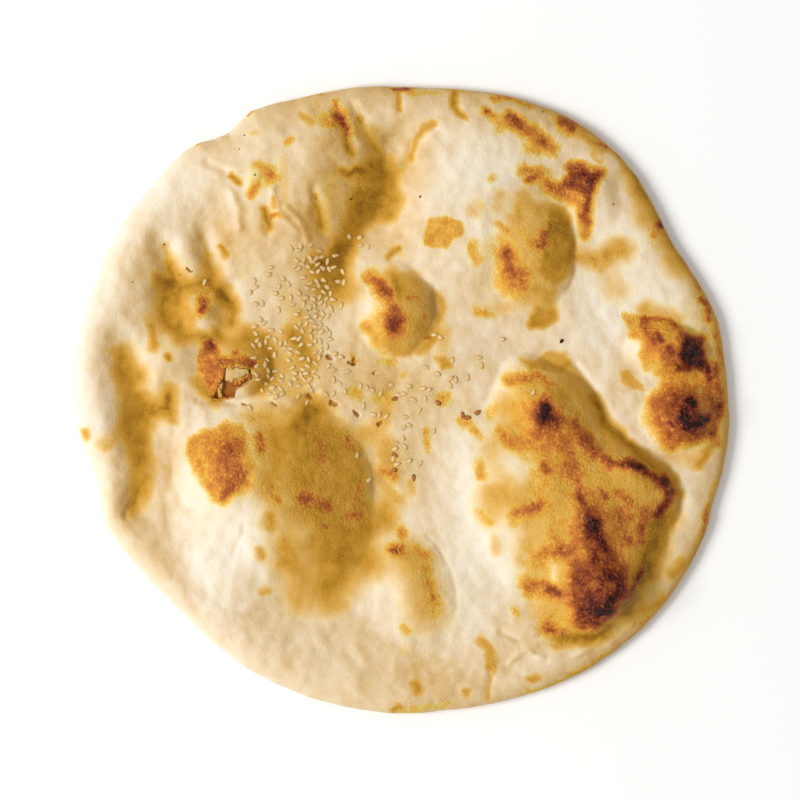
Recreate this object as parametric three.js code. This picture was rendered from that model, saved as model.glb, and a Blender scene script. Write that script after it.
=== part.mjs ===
// Naan bread: one round, hand-stretched flatbread, baked in one piece against a hot oven wall.
// Millimetres, +Z up. The origin is on the table, under the middle of the bread.
// The underside is flat apart from its turned-up edge. The upper skin is a low rim round a thin
// middle, puffed up into hollow-looking blisters with valleys where the dough stayed down.
import * as THREE from "three";

// ---- Driving dimensions ----
const THIN = 6.5; // thickness where the dough stayed flat
const EDGE_LIFT = 3.2; // height of the outermost edge above the table
const FOOT_INSET = 7; // how far in from the edge the underside reaches the table
const SHOULDER_INSET = 11; // how far in from the edge the rim's round shoulder ends
const RIM_BACK = 34; // how far in from the edge the rim has run out into the middle
const BLISTER_FADE = 16; // how far in from the edge a blister has its full height
const LEAST_CRUMB = 3; // the bread is never thinner than this, apart from its round edge
const BLEND = 4; // power of the mean that joins blisters: higher keeps closer to the highest one

// ---- Fineness ----
const SPOKES = 132;
const INNER_RINGS = 30; // from the centre to the rim's shoulder
const SHOULDER_STEPS = [0, 0.7, 2.4, 5.6, SHOULDER_INSET]; // insets of the rings on the shoulder
const FOOT_STEPS = [0.8, 2.6, FOOT_INSET]; // insets of the rings under the edge
const OUTLINE_SAMPLES = 1440;

// The outline seen from above. Points lie only where its curve changes.
const OUTLINE = [
  [131, 0], [130, 12], [127, 31], [119, 47], [109, 62], [100, 80], [90, 95], [75, 108], [60, 116],
  [40, 122], [20, 124], [0, 125], [-20, 124.5], [-42, 120], [-60, 115], [-70, 105.5], [-83, 101.5],
  [-98, 86.5], [-112, 69], [-122, 48], [-128, 29], [-131.5, 8], [-129, -12], [-122, -31], [-118, -49],
  [-104, -67.5], [-85, -87], [-63, -106], [-35, -119], [-5, -125], [26, -123], [50, -118], [75, -107.5],
  [100, -88], [117, -64], [123, -50], [125, -41], [129, -28], [131.5, -10],
];

// The rim stands highest where the dough was thickest. Each entry is a direction in degrees from +X
// towards +Y, and the shoulder's height there.
const RIM_HEIGHTS = [
  [0, 7.5], [45, 8], [90, 9], [135, 10.5], [180, 11], [225, 10.5], [270, 9], [315, 7.5],
];

// Blisters: centre, half sizes, turn from +X in degrees, height, the direction its steep side faces in
// degrees, how far its top leans that way (0 to 1), and two powers that say how sharply its foot meets
// the bread, on the steep side and on the soft side.
const BLISTERS = {
  lowerLeftDome: [[-52, -41], [42, 46], 0, 11.5, -10, -0.3, [1.1, 1.7]],
  upperLeftSwell: [[-46, 84], [46, 34], 25, 8, -20, 0.5, [1.5, 2.2]],
  upperRightSwell: [[30, 82], [42, 42], -10, 7, -40, 0, [1.4, 1.8]],
  topRightBlister: [[49, 60], [21, 27], 8, 6.5, 0, 0.3, [0.8, 2.2]],
  starFold: [[76, 82], [15, 15], 30, 3, 0, 0, [1.8, 1.8]],
  centreBlister: [[-2, 36], [16, 20], -8, 7, -10, 0.2, [1, 1.8]],
  rightEdgeUpper: [[106, 19], [19, 13], -8, 8, 30, 0.3, [1.1, 1.9]],
  rightEdgeLower: [[111, -6], [17, 15], 0, 8, 0, 0.3, [0.9, 1.8]],
  bigDomeBody: [[60, -42], [40, 52], 50, 11.5, 10, 0.3, [0.8, 2.2]],
  bigDomeUpper: [[56, -4], [26, 20], -30, 9.5, 30, 0.2, [0.8, 1.8]],
  bigDomeRight: [[86, -35], [28, 18], -32, 10, 40, 0.2, [0.75, 1.6]],
  bigDomeLower: [[76, -68], [27, 28], 30, 11, -35, 0.3, [0.8, 1.8]],
  bottomBlister: [[4, -75], [19, 29], 8, 3.4, 10, 0, [2, 2]],
  burstBlister: [[-67, 13], [16, 13], 8, 5.5, -60, 0.3, [0.8, 1.6]],
  buttonBlister: [[-79, 36], [11, 11], 0, 3.4, 0, 0.2, [1.5, 1.8]],
  leftSaddle: [[-94, 12], [16, 16], 0, 3, 0, 0, [1.5, 1.5]],
  upperLeftKnuckle: [[-84, 58], [10, 17], 15, 1.8, 0, 0.3, [1.8, 2]],
  middleSwell: [[22, 12], [26, 22], 0, 2, 0, 0, [1.6, 1.6]],
};

// Lobes: smaller swellings on a blister's back, described the same way. Their heights add to it.
const LOBES = {
  lowerLeftDomeTop: [[-70, -24], [22, 24], 0, 3.5, 180, 0.2, [1.2, 1.6]],
  bigDomeBurntRidge: [[96, -29], [19, 10], -38, 3, 40, 0.3, [1.2, 1.4]],
  bigDomeMiddle: [[76, -49], [15, 13], -30, 3, 0, 0, [1.4, 1.4]],
  bigDomeLowerKnob: [[81, -77], [17, 14], 52, 4.5, -50, 0.3, [1.1, 1.4]],
  bigDomeUpperKnob: [[58, -7], [13, 12], 0, 2.5, 0, 0, [1.4, 1.4]],
};

// Valleys where the dough stayed down between blisters: a path, its half width and its depth.
const VALLEYS = {
  left: { path: [[-113, 24], [-107, 8], [-104, -10], [-103, -26], [-107, -44]], width: 9, depth: 3 },
  leftBranch: { path: [[-102, -5], [-94, -3], [-92, 5]], width: 4.5, depth: 1.2 },
  lowerLeft: { path: [[-106, -42], [-98, -56], [-90, -72], [-84, -84]], width: 9, depth: 1.6 },
  upperLeft: { path: [[-96, 62], [-92, 48], [-92, 30]], width: 5.5, depth: 2.2 },
  upperLeftBranch: { path: [[-88, 46], [-80, 47], [-75, 52], [-78, 64]], width: 4.5, depth: 1.6 },
  besideTheButton: { path: [[-69, 44], [-70, 30]], width: 4.5, depth: 1.2 },
  top: { path: [[1, 104], [-3, 84], [-8, 72], [-21, 60], [-27, 44]], width: 8, depth: 2.6 },
  middle: { path: [[-14, -12], [-9, -32], [-6, -50]], width: 6, depth: 1.2 },
};

const toRadians = (degrees) => (degrees * Math.PI) / 180;
const clamp01 = (value) => Math.min(1, Math.max(0, value));
const smoothStep = (value) => clamp01(value) ** 2 * (3 - 2 * clamp01(value));
const total = (table, amount) => Object.values(table).reduce((sum, item) => sum + amount(item), 0);

// The outline as a radius for each direction, from a closed curve through its points.
const outlineCurve = new THREE.CatmullRomCurve3(
  OUTLINE.map(([x, y]) => new THREE.Vector3(x, y, 0)),
  true,
  "centripetal",
);
const outlineByAngle = outlineCurve
  .getPoints(OUTLINE_SAMPLES)
  .map((p) => ({ angle: Math.atan2(p.y, p.x), radius: Math.hypot(p.x, p.y) }))
  .sort((a, b) => a.angle - b.angle);

function outlineRadius(angle) {
  const last = outlineByAngle.length - 1;
  const next = outlineByAngle.findIndex((sample) => sample.angle >= angle);
  if (next <= 0) return outlineByAngle[next === 0 ? 0 : last].radius;
  const [a, b] = [outlineByAngle[next - 1], outlineByAngle[next]];
  const share = (angle - a.angle) / Math.max(b.angle - a.angle, 1e-9);
  return a.radius + share * (b.radius - a.radius);
}

// The rim's height in a direction, eased between the stated directions.
function rimHeight(angle) {
  const degrees = (THREE.MathUtils.radToDeg(angle) + 360) % 360;
  const step = 360 / RIM_HEIGHTS.length;
  const index = Math.floor(degrees / step);
  const from = RIM_HEIGHTS[index][1];
  const to = RIM_HEIGHTS[(index + 1) % RIM_HEIGHTS.length][1];
  return from + (to - from) * smoothStep(degrees / step - index);
}

// Height of one blister or lobe over the dough around it.
function domeHeight([at, half, turn, height, steep, lean, feet], x, y) {
  const [dx, dy] = [x - at[0], y - at[1]];
  const [c, s] = [Math.cos(toRadians(turn)), Math.sin(toRadians(turn))];
  const [u, v] = [(dx * c + dy * s) / half[0], (dy * c - dx * s) / half[1]];
  const reach = Math.hypot(u, v);
  if (reach >= 1) return 0;
  const facing = Math.cos(Math.atan2(v, u) - toRadians(steep - turn));
  const power = feet[1] + (feet[0] - feet[1]) * (0.5 + 0.5 * facing);
  return height * (1 - reach ** 2) ** power * (1 + lean * facing * reach);
}

// The distance from a point to a valley's path.
function distanceToPath(path, x, y) {
  let least = Infinity;
  for (let i = 1; i < path.length; i++) {
    const [[ax, ay], [bx, by]] = [path[i - 1], path[i]];
    const [ex, ey] = [bx - ax, by - ay];
    const along = clamp01(((x - ax) * ex + (y - ay) * ey) / (ex * ex + ey * ey));
    least = Math.min(least, Math.hypot(x - ax - along * ex, y - ay - along * ey));
  }
  return least;
}

const valleyDrop = ({ path, width, depth }, x, y) =>
  depth * Math.exp(-((distanceToPath(path, x, y) / width) ** 2));

// Height of the upper skin, at a point that lies inset millimetres in from the edge.
function upperSkin(x, y, inset) {
  const rim = rimHeight(Math.atan2(y, x));
  const round = Math.sqrt(1 - (1 - clamp01(inset / SHOULDER_INSET)) ** 2);
  const runOut = smoothStep((inset - SHOULDER_INSET) / (RIM_BACK - SHOULDER_INSET));
  const body = EDGE_LIFT + (rim - EDGE_LIFT) * round - (rim - THIN) * runOut;
  const fade = smoothStep(inset / BLISTER_FADE);
  const joined = total(BLISTERS, (blister) => domeHeight(blister, x, y) ** BLEND) ** (1 / BLEND);
  const lobes = total(LOBES, (lobe) => domeHeight(lobe, x, y));
  const drop = total(VALLEYS, (valley) => valleyDrop(valley, x, y));
  const least = EDGE_LIFT + (LEAST_CRUMB - EDGE_LIFT) * clamp01(inset / FOOT_INSET);
  return Math.max(body + fade * (joined + lobes - drop), least);
}

// Height of the underside: flat on the table, turning up in a quarter round at the edge.
function underside(inset) {
  const share = clamp01(inset / FOOT_INSET);
  return EDGE_LIFT * (1 - Math.sqrt(1 - (1 - share) ** 2));
}

// The bread starts as a lathe of its section: x is the share of the way out to the edge, and y tells
// the layers apart. Each vertex is then moved to its real place.
function makeBread() {
  const meanRadius = outlineByAngle.reduce((sum, p) => sum + p.radius, 0) / outlineByAngle.length;
  const [UNDER, EDGE, UPPER] = [-1, 0, 1];
  const shareAt = (inset) => 1 - inset / meanRadius;
  const innerShare = shareAt(SHOULDER_INSET);
  const section = [
    new THREE.Vector2(0, UNDER),
    ...FOOT_STEPS.toReversed().map((inset) => new THREE.Vector2(shareAt(inset), UNDER)),
    new THREE.Vector2(1, EDGE),
    ...SHOULDER_STEPS.slice(1).map((inset) => new THREE.Vector2(shareAt(inset), UPPER)),
  ];
  for (let ring = INNER_RINGS - 1; ring >= 0; ring--)
    section.push(new THREE.Vector2((innerShare * ring) / INNER_RINGS, UPPER));

  const geometry = new THREE.LatheGeometry(section, SPOKES);
  geometry.rotateX(Math.PI / 2);
  const position = geometry.getAttribute("position");
  for (let i = 0; i < position.count; i++) {
    const layer = Math.round(position.getZ(i));
    const share = Math.hypot(position.getX(i), position.getY(i));
    const angle = Math.atan2(position.getY(i), position.getX(i));
    const radius = outlineRadius(angle);
    const [x, y] = [share * radius * Math.cos(angle), share * radius * Math.sin(angle)];
    const inset = (1 - share) * radius;
    const z = layer === UNDER ? underside(inset) : layer === EDGE ? EDGE_LIFT : upperSkin(x, y, inset);
    position.setXYZ(i, x, y, z);
  }
  geometry.computeBoundingBox();
  const middle = geometry.boundingBox.getCenter(new THREE.Vector3());
  geometry.translate(-middle.x, -middle.y, 0);
  geometry.computeVertexNormals();
  return geometry;
}

const crust = new THREE.MeshStandardMaterial({ color: 0xe3c794, roughness: 0.72, metalness: 0 });

const naan = new THREE.Group();
const bread = new THREE.Mesh(makeBread(), crust);
bread.name = "naan_bread";
naan.add(bread);

export default naan;
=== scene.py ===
# %% [markdown]
# # A round naan
# A naan is a leavened flatbread. A ball of soft dough is slapped out thin, pricked in the middle, strewn
# with sesame and pressed onto the hot wall of a clay oven. The wall side bakes flat. Steam lifts the other
# side into blisters, and whatever stands highest browns first, then chars.
#
# The lesson follows the same order: an outline, blisters raised by a height function, browning painted
# with soft strokes, a ball of mesh pressed into that shape, then the torn blister, the seeds and the light.

# %% Load the frame
import math
import random

import bmesh
import bpy
import numpy as np
from mathutils import Matrix, Vector, noise
from mathutils.bvhtree import BVHTree


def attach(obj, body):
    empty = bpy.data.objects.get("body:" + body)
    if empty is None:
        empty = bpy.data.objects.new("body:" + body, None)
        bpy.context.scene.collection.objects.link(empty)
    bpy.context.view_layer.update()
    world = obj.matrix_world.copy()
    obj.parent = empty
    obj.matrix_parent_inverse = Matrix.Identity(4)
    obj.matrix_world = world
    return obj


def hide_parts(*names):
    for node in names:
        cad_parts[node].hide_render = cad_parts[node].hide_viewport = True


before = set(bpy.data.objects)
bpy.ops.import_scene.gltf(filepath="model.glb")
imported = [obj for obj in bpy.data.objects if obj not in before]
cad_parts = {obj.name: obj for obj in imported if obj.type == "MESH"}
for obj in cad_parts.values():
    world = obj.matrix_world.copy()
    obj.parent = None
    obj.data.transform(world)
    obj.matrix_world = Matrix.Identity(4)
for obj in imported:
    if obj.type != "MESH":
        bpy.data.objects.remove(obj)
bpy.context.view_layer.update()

# %% [markdown]
# ## Units and small tools
# Blender works in metres, but a baker thinks in millimetres, so every size below is in millimetres and
# turns to metres only when a mesh is written. These tools carry most of the work: a soft step, a turn,
# soft noise for whatever dough does by chance, a wander that shifts points by such noise so that no drawn
# line stays straight, and the distance from a point to a drawn path.

# %% Small tools
MM = 0.001


def soft_step(value):
    """Rises smoothly from 0 to 1 as value goes from 0 to 1."""
    value = np.clip(value, 0, 1)
    return value * value * (3 - 2 * value)


def turned(x, y, degrees):
    """The point x, y after a turn about the origin, from +X towards +Y."""
    c, s = math.cos(math.radians(degrees)), math.sin(math.radians(degrees))
    return x * c - y * s, x * s + y * c


def lumps(x, y, size, seed):
    """Soft noise, about -1 to 1, whose lumps are about size millimetres across."""
    return np.array([noise.noise((a, b, 9.7 * seed)) for a, b in zip(x / size, y / size)])


def wander(x, y, swings):
    """The points, shifted by noise. A swing is its reach and lump size in millimetres, and a seed."""
    new_x, new_y = x.copy(), y.copy()
    for reach, size, seed in swings:
        new_x += reach * lumps(x, y, size, seed)
        new_y += reach * lumps(x, y, size, seed + 0.5)
    return new_x, new_y


def distance_to_path(x, y, path, filled=False):
    """Distance to a path of points. A filled path is closed, and inside it the distance is negative."""
    if len(path) == 1:
        return np.hypot(x - path[0][0], y - path[0][1])
    ends = path[1:] + path[:1] if filled else path[1:]
    least = np.full(x.shape, np.inf)
    inside = np.zeros(x.shape, bool)
    for (ax, ay), (bx, by) in zip(path, ends):
        ex, ey = bx - ax, by - ay
        along = np.clip(((x - ax) * ex + (y - ay) * ey) / (ex * ex + ey * ey), 0, 1)
        least = np.minimum(least, np.hypot(x - ax - along * ex, y - ay - along * ey))
        if ay != by:
            inside ^= ((ay > y) != (by > y)) & (x < ax + ex * (y - ay) / ey)
    return np.where(inside, -least, least) if filled else least


def place_object(name, data):
    """Adds an object to the scene, at the origin."""
    made = bpy.data.objects.new(name, data)
    bpy.context.scene.collection.objects.link(made)
    return made


def smooth_skin(bm):
    """Turns every face outwards and shades it smooth."""
    bmesh.ops.recalc_face_normals(bm, faces=bm.faces)
    for face in bm.faces:
        face.smooth = True


# %% [markdown]
# ## The outline
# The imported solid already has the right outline, so it is read from there and can't drift. It has one
# vertex on its edge in each of SPOKES directions. Dough isn't smooth at a small scale, so a little noise
# is added, well under a millimetre.

# %% Outline
SPOKES = 132
EDGE_WOBBLE = 0.35

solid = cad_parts["naan_bread"]
solid_points = np.array([v.co[:] for v in solid.data.vertices]) / MM
solid_angle = np.arctan2(solid_points[:, 1], solid_points[:, 0])
spoke = np.round(solid_angle / (2 * math.pi) * SPOKES).astype(int) % SPOKES
spoke_radius = np.zeros(SPOKES)
np.maximum.at(spoke_radius, spoke, np.hypot(solid_points[:, 0], solid_points[:, 1]))


def outline_radius(angle):
    """Distance from the middle to the edge, in each direction."""
    directions = np.arange(SPOKES) / SPOKES * 2 * math.pi
    radius = np.interp(angle % (2 * math.pi), directions, spoke_radius, period=2 * math.pi)
    x, y = radius * np.cos(angle), radius * np.sin(angle)
    return radius + EDGE_WOBBLE * (lumps(x, y, 9, 1) + 0.5 * lumps(x, y, 4, 2))


print("edge is", round(spoke_radius.min(), 1), "to", round(spoke_radius.max(), 1), "mm from the middle")

# %% [markdown]
# ## Blisters and valleys
# A blister is steam under a skin of dough, so it is a dome. On one side its foot is a definite crease,
# and on the other it melts into the bread. Each blister here is a stretched circle with a height, the
# direction its steep side faces, how far its top leans that way, and two powers: how sharply the foot
# meets the bread on the steep side and on the soft side. The bread could be sculpted by hand instead, but
# a table of named blisters can be read and tuned.

# %% Blisters
# name: (centre, half sizes, turn, height, steep side faces, lean, (steep foot, soft foot))
BLISTERS = {
    "lower left dome": ((-52, -41), (42, 46), 0, 11.5, -10, -0.3, (1.1, 1.7)),
    "upper left swell": ((-46, 84), (46, 34), 25, 8, -20, 0.5, (1.5, 2.2)),
    "upper right swell": ((30, 82), (42, 42), -10, 7, -40, 0.0, (1.4, 1.8)),
    "top right blister": ((49, 60), (21, 27), 8, 6.5, 0, 0.3, (0.8, 2.2)),
    "star fold": ((76, 82), (15, 15), 30, 3, 0, 0.0, (1.8, 1.8)),
    "centre blister": ((-2, 36), (16, 20), -8, 7.0, -10, 0.2, (1.0, 1.8)),
    "right edge, upper": ((106, 19), (19, 13), -8, 8, 30, 0.3, (1.1, 1.9)),
    "right edge, lower": ((111, -6), (17, 15), 0, 8, 0, 0.3, (0.9, 1.8)),
    "big dome, body": ((60, -42), (40, 52), 50, 11.5, 10, 0.3, (0.8, 2.2)),
    "big dome, upper": ((56, -4), (26, 20), -30, 9.5, 30, 0.2, (0.8, 1.8)),
    "big dome, right": ((86, -35), (28, 18), -32, 10, 40, 0.2, (0.75, 1.6)),
    "big dome, lower": ((76, -68), (27, 28), 30, 11, -35, 0.3, (0.8, 1.8)),
    "bottom blister": ((4, -75), (19, 29), 8, 3.4, 10, 0.0, (2.0, 2.0)),
    "burst blister": ((-67, 13), (16, 13), 8, 5.5, -60, 0.3, (0.8, 1.6)),
    "button blister": ((-79, 36), (11, 11), 0, 3.4, 0, 0.2, (1.5, 1.8)),
    "left saddle": ((-94, 12), (16, 16), 0, 3, 0, 0.0, (1.5, 1.5)),
    "upper left knuckle": ((-84, 58), (10, 17), 15, 1.8, 0, 0.3, (1.8, 2.0)),
    "middle swell": ((22, 12), (26, 22), 0, 2, 0, 0.0, (1.6, 1.6)),
}
LOBES = {
    "lower left dome, browned top": ((-70, -24), (22, 24), 0, 3.5, 180, 0.2, (1.2, 1.6)),
    "big dome, burnt ridge": ((96, -29), (19, 10), -38, 3, 40, 0.3, (1.2, 1.4)),
    "big dome, middle": ((76, -49), (15, 13), -30, 3, 0, 0.0, (1.4, 1.4)),
    "big dome, lower knob": ((81, -77), (17, 14), 52, 4.5, -50, 0.3, (1.1, 1.4)),
    "big dome, upper knob": ((58, -7), (13, 12), 0, 2.5, 0, 0.0, (1.4, 1.4)),
}
# name: path, half width, depth
VALLEYS = {
    "left": ([(-113, 24), (-107, 8), (-104, -10), (-103, -26), (-107, -44)], 9, 3.0),
    "left branch": ([(-102, -5), (-94, -3), (-92, 5)], 4.5, 1.2),
    "lower left": ([(-106, -42), (-98, -56), (-90, -72), (-84, -84)], 9, 1.6),
    "upper left": ([(-96, 62), (-92, 48), (-92, 30)], 5.5, 2.2),
    "upper left branch": ([(-88, 46), (-80, 47), (-75, 52), (-78, 64)], 4.5, 1.6),
    "beside the button": ([(-69, 44), (-70, 30)], 4.5, 1.2),
    "top": ([(1, 104), (-3, 84), (-8, 72), (-21, 60), (-27, 44)], 8, 2.6),
    "middle": ([(-14, -12), (-9, -32), (-6, -50)], 6, 1.2),
}


def dome(x, y, centre, half, turn, height, steep, lean, feet):
    """Height of one blister or lobe over the dough around it."""
    u, v = turned(x - centre[0], y - centre[1], -turn)
    u, v = u / half[0], v / half[1]
    reach = np.sqrt(u * u + v * v) + 1e-9
    to = math.radians(steep - turn)
    facing = (u * math.cos(to) + v * math.sin(to)) / reach
    power = feet[1] + (feet[0] - feet[1]) * (0.5 + 0.5 * facing)
    return height * np.clip(1 - reach**2, 0, 1) ** power * (1 + lean * facing * reach)


print("blisters:", len(BLISTERS), "lobes:", len(LOBES), "valleys:", len(VALLEYS))

# %% [markdown]
# ## The big forms
# Neighbouring blisters join with a crease between them. Adding their heights would pile them up, so they
# are blended by a power mean, which keeps close to the higher of the two. Lobes are smaller swellings on
# a blister's back, and they do add. The rim is a round shoulder that runs out into the thin middle, and
# it stands highest on the side where the dough was thickest.

# %% Big forms
THIN = 6.5
EDGE_LIFT = 3.2
SHOULDER_INSET = 11.0
FOOT_INSET = 7.0
RIM_BACK = 34.0
BLISTER_FADE = 16.0
LEAST_CRUMB = 3.0
BLEND = 4
BIG_SWINGS = [(2.0, 18, 3), (0.6, 6, 4)]

# Height of the rim's shoulder in each direction, counted from +X towards +Y in steps of 45 degrees.
RIM_HEIGHTS = [7.5, 8.0, 9.0, 10.5, 11.0, 10.5, 9.0, 7.5]


def big_forms(x, y, inset):
    """Height of the upper skin without its fine relief. x and y say where, inset how far from the edge."""
    near_x, near_y = wander(x, y, BIG_SWINGS)
    direction = np.arctan2(y, x) / (2 * math.pi) * len(RIM_HEIGHTS)
    rim = np.interp(direction, np.arange(len(RIM_HEIGHTS)), RIM_HEIGHTS, period=len(RIM_HEIGHTS))
    run_out = soft_step((inset - SHOULDER_INSET) / (RIM_BACK - SHOULDER_INSET))
    around = np.sqrt(1 - (1 - np.clip(inset / SHOULDER_INSET, 0, 1)) ** 2)
    body = EDGE_LIFT + (rim - EDGE_LIFT) * around - (rim - THIN) * run_out
    joined = sum(dome(near_x, near_y, *row) ** BLEND for row in BLISTERS.values()) ** (1 / BLEND)
    lobes = sum(dome(near_x, near_y, *row) for row in LOBES.values())
    drop = sum(
        depth * np.exp(-((distance_to_path(near_x, near_y, path) / width) ** 2))
        for path, width, depth in VALLEYS.values()
    )
    height = body + soft_step(inset / BLISTER_FADE) * (joined + lobes - drop)
    least = EDGE_LIFT + (LEAST_CRUMB - EDGE_LIFT) * np.clip(inset / FOOT_INSET, 0, 1)
    return np.maximum(height, least)


# %% [markdown]
# ## Where it browned
# Two things colour a naan. Skin that is stretched thin over steam, or lies wet in a valley, turns a
# translucent mustard yellow, and the same yellow layer also carries painted shade, in the valleys and on
# flanks turned away from the lamp. Whatever stood high or thin took the heat, and went gold, orange-brown
# and then char, in that order, so one number carries all of that. A painted texture would need a picture
# file.
# Here each mark is a soft brush stroke instead: its level in the middle, its reach, over which it fades to
# about a third, and the path of the stroke. An area is drawn by its outline and fades outside it only.

# %% Brush
STROKE_BLEND = 4
AREA_INSET = 0.3  # an area starts to fade this far inside its outline, as a share of its reach
FADE = 1.6  # how roundly a mark fades: 1 is pointed, 2 is a bell
STROKE_SWINGS = [(1.6, 9, 21), (0.9, 4, 22), (0.35, 1.8, 23)]


def paint(areas, strokes, softness, x, y):
    """Level at each point, 0 to 1. Marks that overlap join softly, and come out a little stronger."""
    joined = np.zeros(x.shape)
    for marks, filled in ((areas, True), (strokes, False)):
        for level, reach, path in marks:
            away = distance_to_path(x, y, path, filled) / (softness * reach)
            if filled:
                away = np.maximum(away + AREA_INSET, 0)
            joined += (level * np.exp(-(away**FADE))) ** STROKE_BLEND
    return np.clip(joined ** (1 / STROKE_BLEND), 0, 1)


# %% [markdown]
# ## Mustard skin and painted shade
# The thin and the wet skin, and the shade painted in the valleys and on flanks turned away from the lamp,
# roughly from the left of the bread to its right.

# %% Mustard skin and painted shade
MUSTARD_AND_SHADE_AREAS = [
    # left valley: mustard and painted shade
    (0.82, 3.2, [(-114, 20), (-111, 21), (-107, 16), (-103.5, 11), (-103, 8), (-105, 5), (-101, 0),
                 (-98.5, -6), (-100, -11), (-101, -18), (-101.5, -28), (-101, -37), (-105, -43),
                 (-108, -46), (-107, -38), (-106.5, -28), (-108, -18), (-111, -10), (-110.5, 0),
                 (-112, 8), (-114, 14)]),
    # upper left valley, round the button: mustard and painted shade
    (0.88, 3.2, [(-97, 50), (-90, 49), (-84, 47.5), (-76, 48), (-72, 46), (-68, 41), (-67, 37),
                 (-71, 41), (-75, 43.5), (-81, 45.5), (-86, 44), (-88, 38), (-87, 32), (-86, 28),
                 (-90, 27.5), (-94, 29), (-96, 34), (-96, 42)]),
    # top valley: mustard and painted shade
    (0.88, 3.4, [(-17, 92), (-12, 96), (-4, 97), (-2, 90), (-1.5, 81), (-4, 74), (-12, 71.5),
                 (-16, 66), (-20, 61), (-22, 54), (-22, 48), (-28, 48), (-29, 56), (-26, 63),
                 (-22, 70), (-19, 80)]),
    # lower left dome, its right side: mustard and painted shade on the flank turned from the lamp
    (0.8, 4.5, [(-44, -6), (-38, -3), (-33, -3), (-29, -9), (-22, -13), (-17, -19), (-14, -29),
                (-12, -40), (-9, -50), (-13, -58), (-24, -59), (-32, -55), (-38, -48), (-42, -38),
                (-44, -24)]),
    # centre blister: mustard and painted shade on its right part
    (0.68, 1.8, [(-4, 49), (5, 51.5), (9, 47), (12.5, 40), (14, 33), (12.5, 27), (9.5, 22), (4, 17),
                 (-3, 19), (-6, 23), (-4, 30), (0, 38)]),
    # top right blister, its right side: mustard and painted shade
    (0.85, 1.6, [(60, 78), (65, 76), (68, 71), (69, 64), (68.5, 55), (66, 48), (60, 46), (56, 50),
                 (57, 60), (58, 70)]),
    # big dome, its right side: mustard and painted shade
    (0.68, 1.3, [(64, 14), (67, 15), (73, 9), (79, 1), (83, -7), (88, -13), (95, -18), (104, -24),
                 (110, -31), (112, -38), (110, -48), (106, -56), (103, -64), (100, -72), (96, -79),
                 (90, -86), (82, -92), (74, -95), (66, -92), (70, -80), (76, -60), (72, -30), (62, 0)]),
    (0.75, 1.2, [(49, 16), (54, 15), (60, 18.5), (65, 18), (68, 14), (65, 11.5), (58, 11), (52, 12)]),
    # small patches
    (0.85, 1.5, [(54, 37), (61, 37), (62, 33), (58, 29), (53, 28.5), (51.5, 31)]),
    (0.75, 1.2, [(88, 11), (92, 10.5), (95, 7), (97.5, 4), (93, 4), (89, 7)]),
    (0.75, 1.2, [(14, 18), (18, 17.5), (20.5, 14), (17, 13.5)]),
    (0.7, 1.4, [(32, -95), (36, -99), (38.5, -105), (37, -109), (34.5, -107), (34, -101), (31, -96)]),
    (0.8, 1.6, [(25, -116), (28, -115.5), (27, -119)]),
    (0.8, 1.5, [(51, -111), (54, -109.5), (56, -110.5), (53, -112)]),
]
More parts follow.
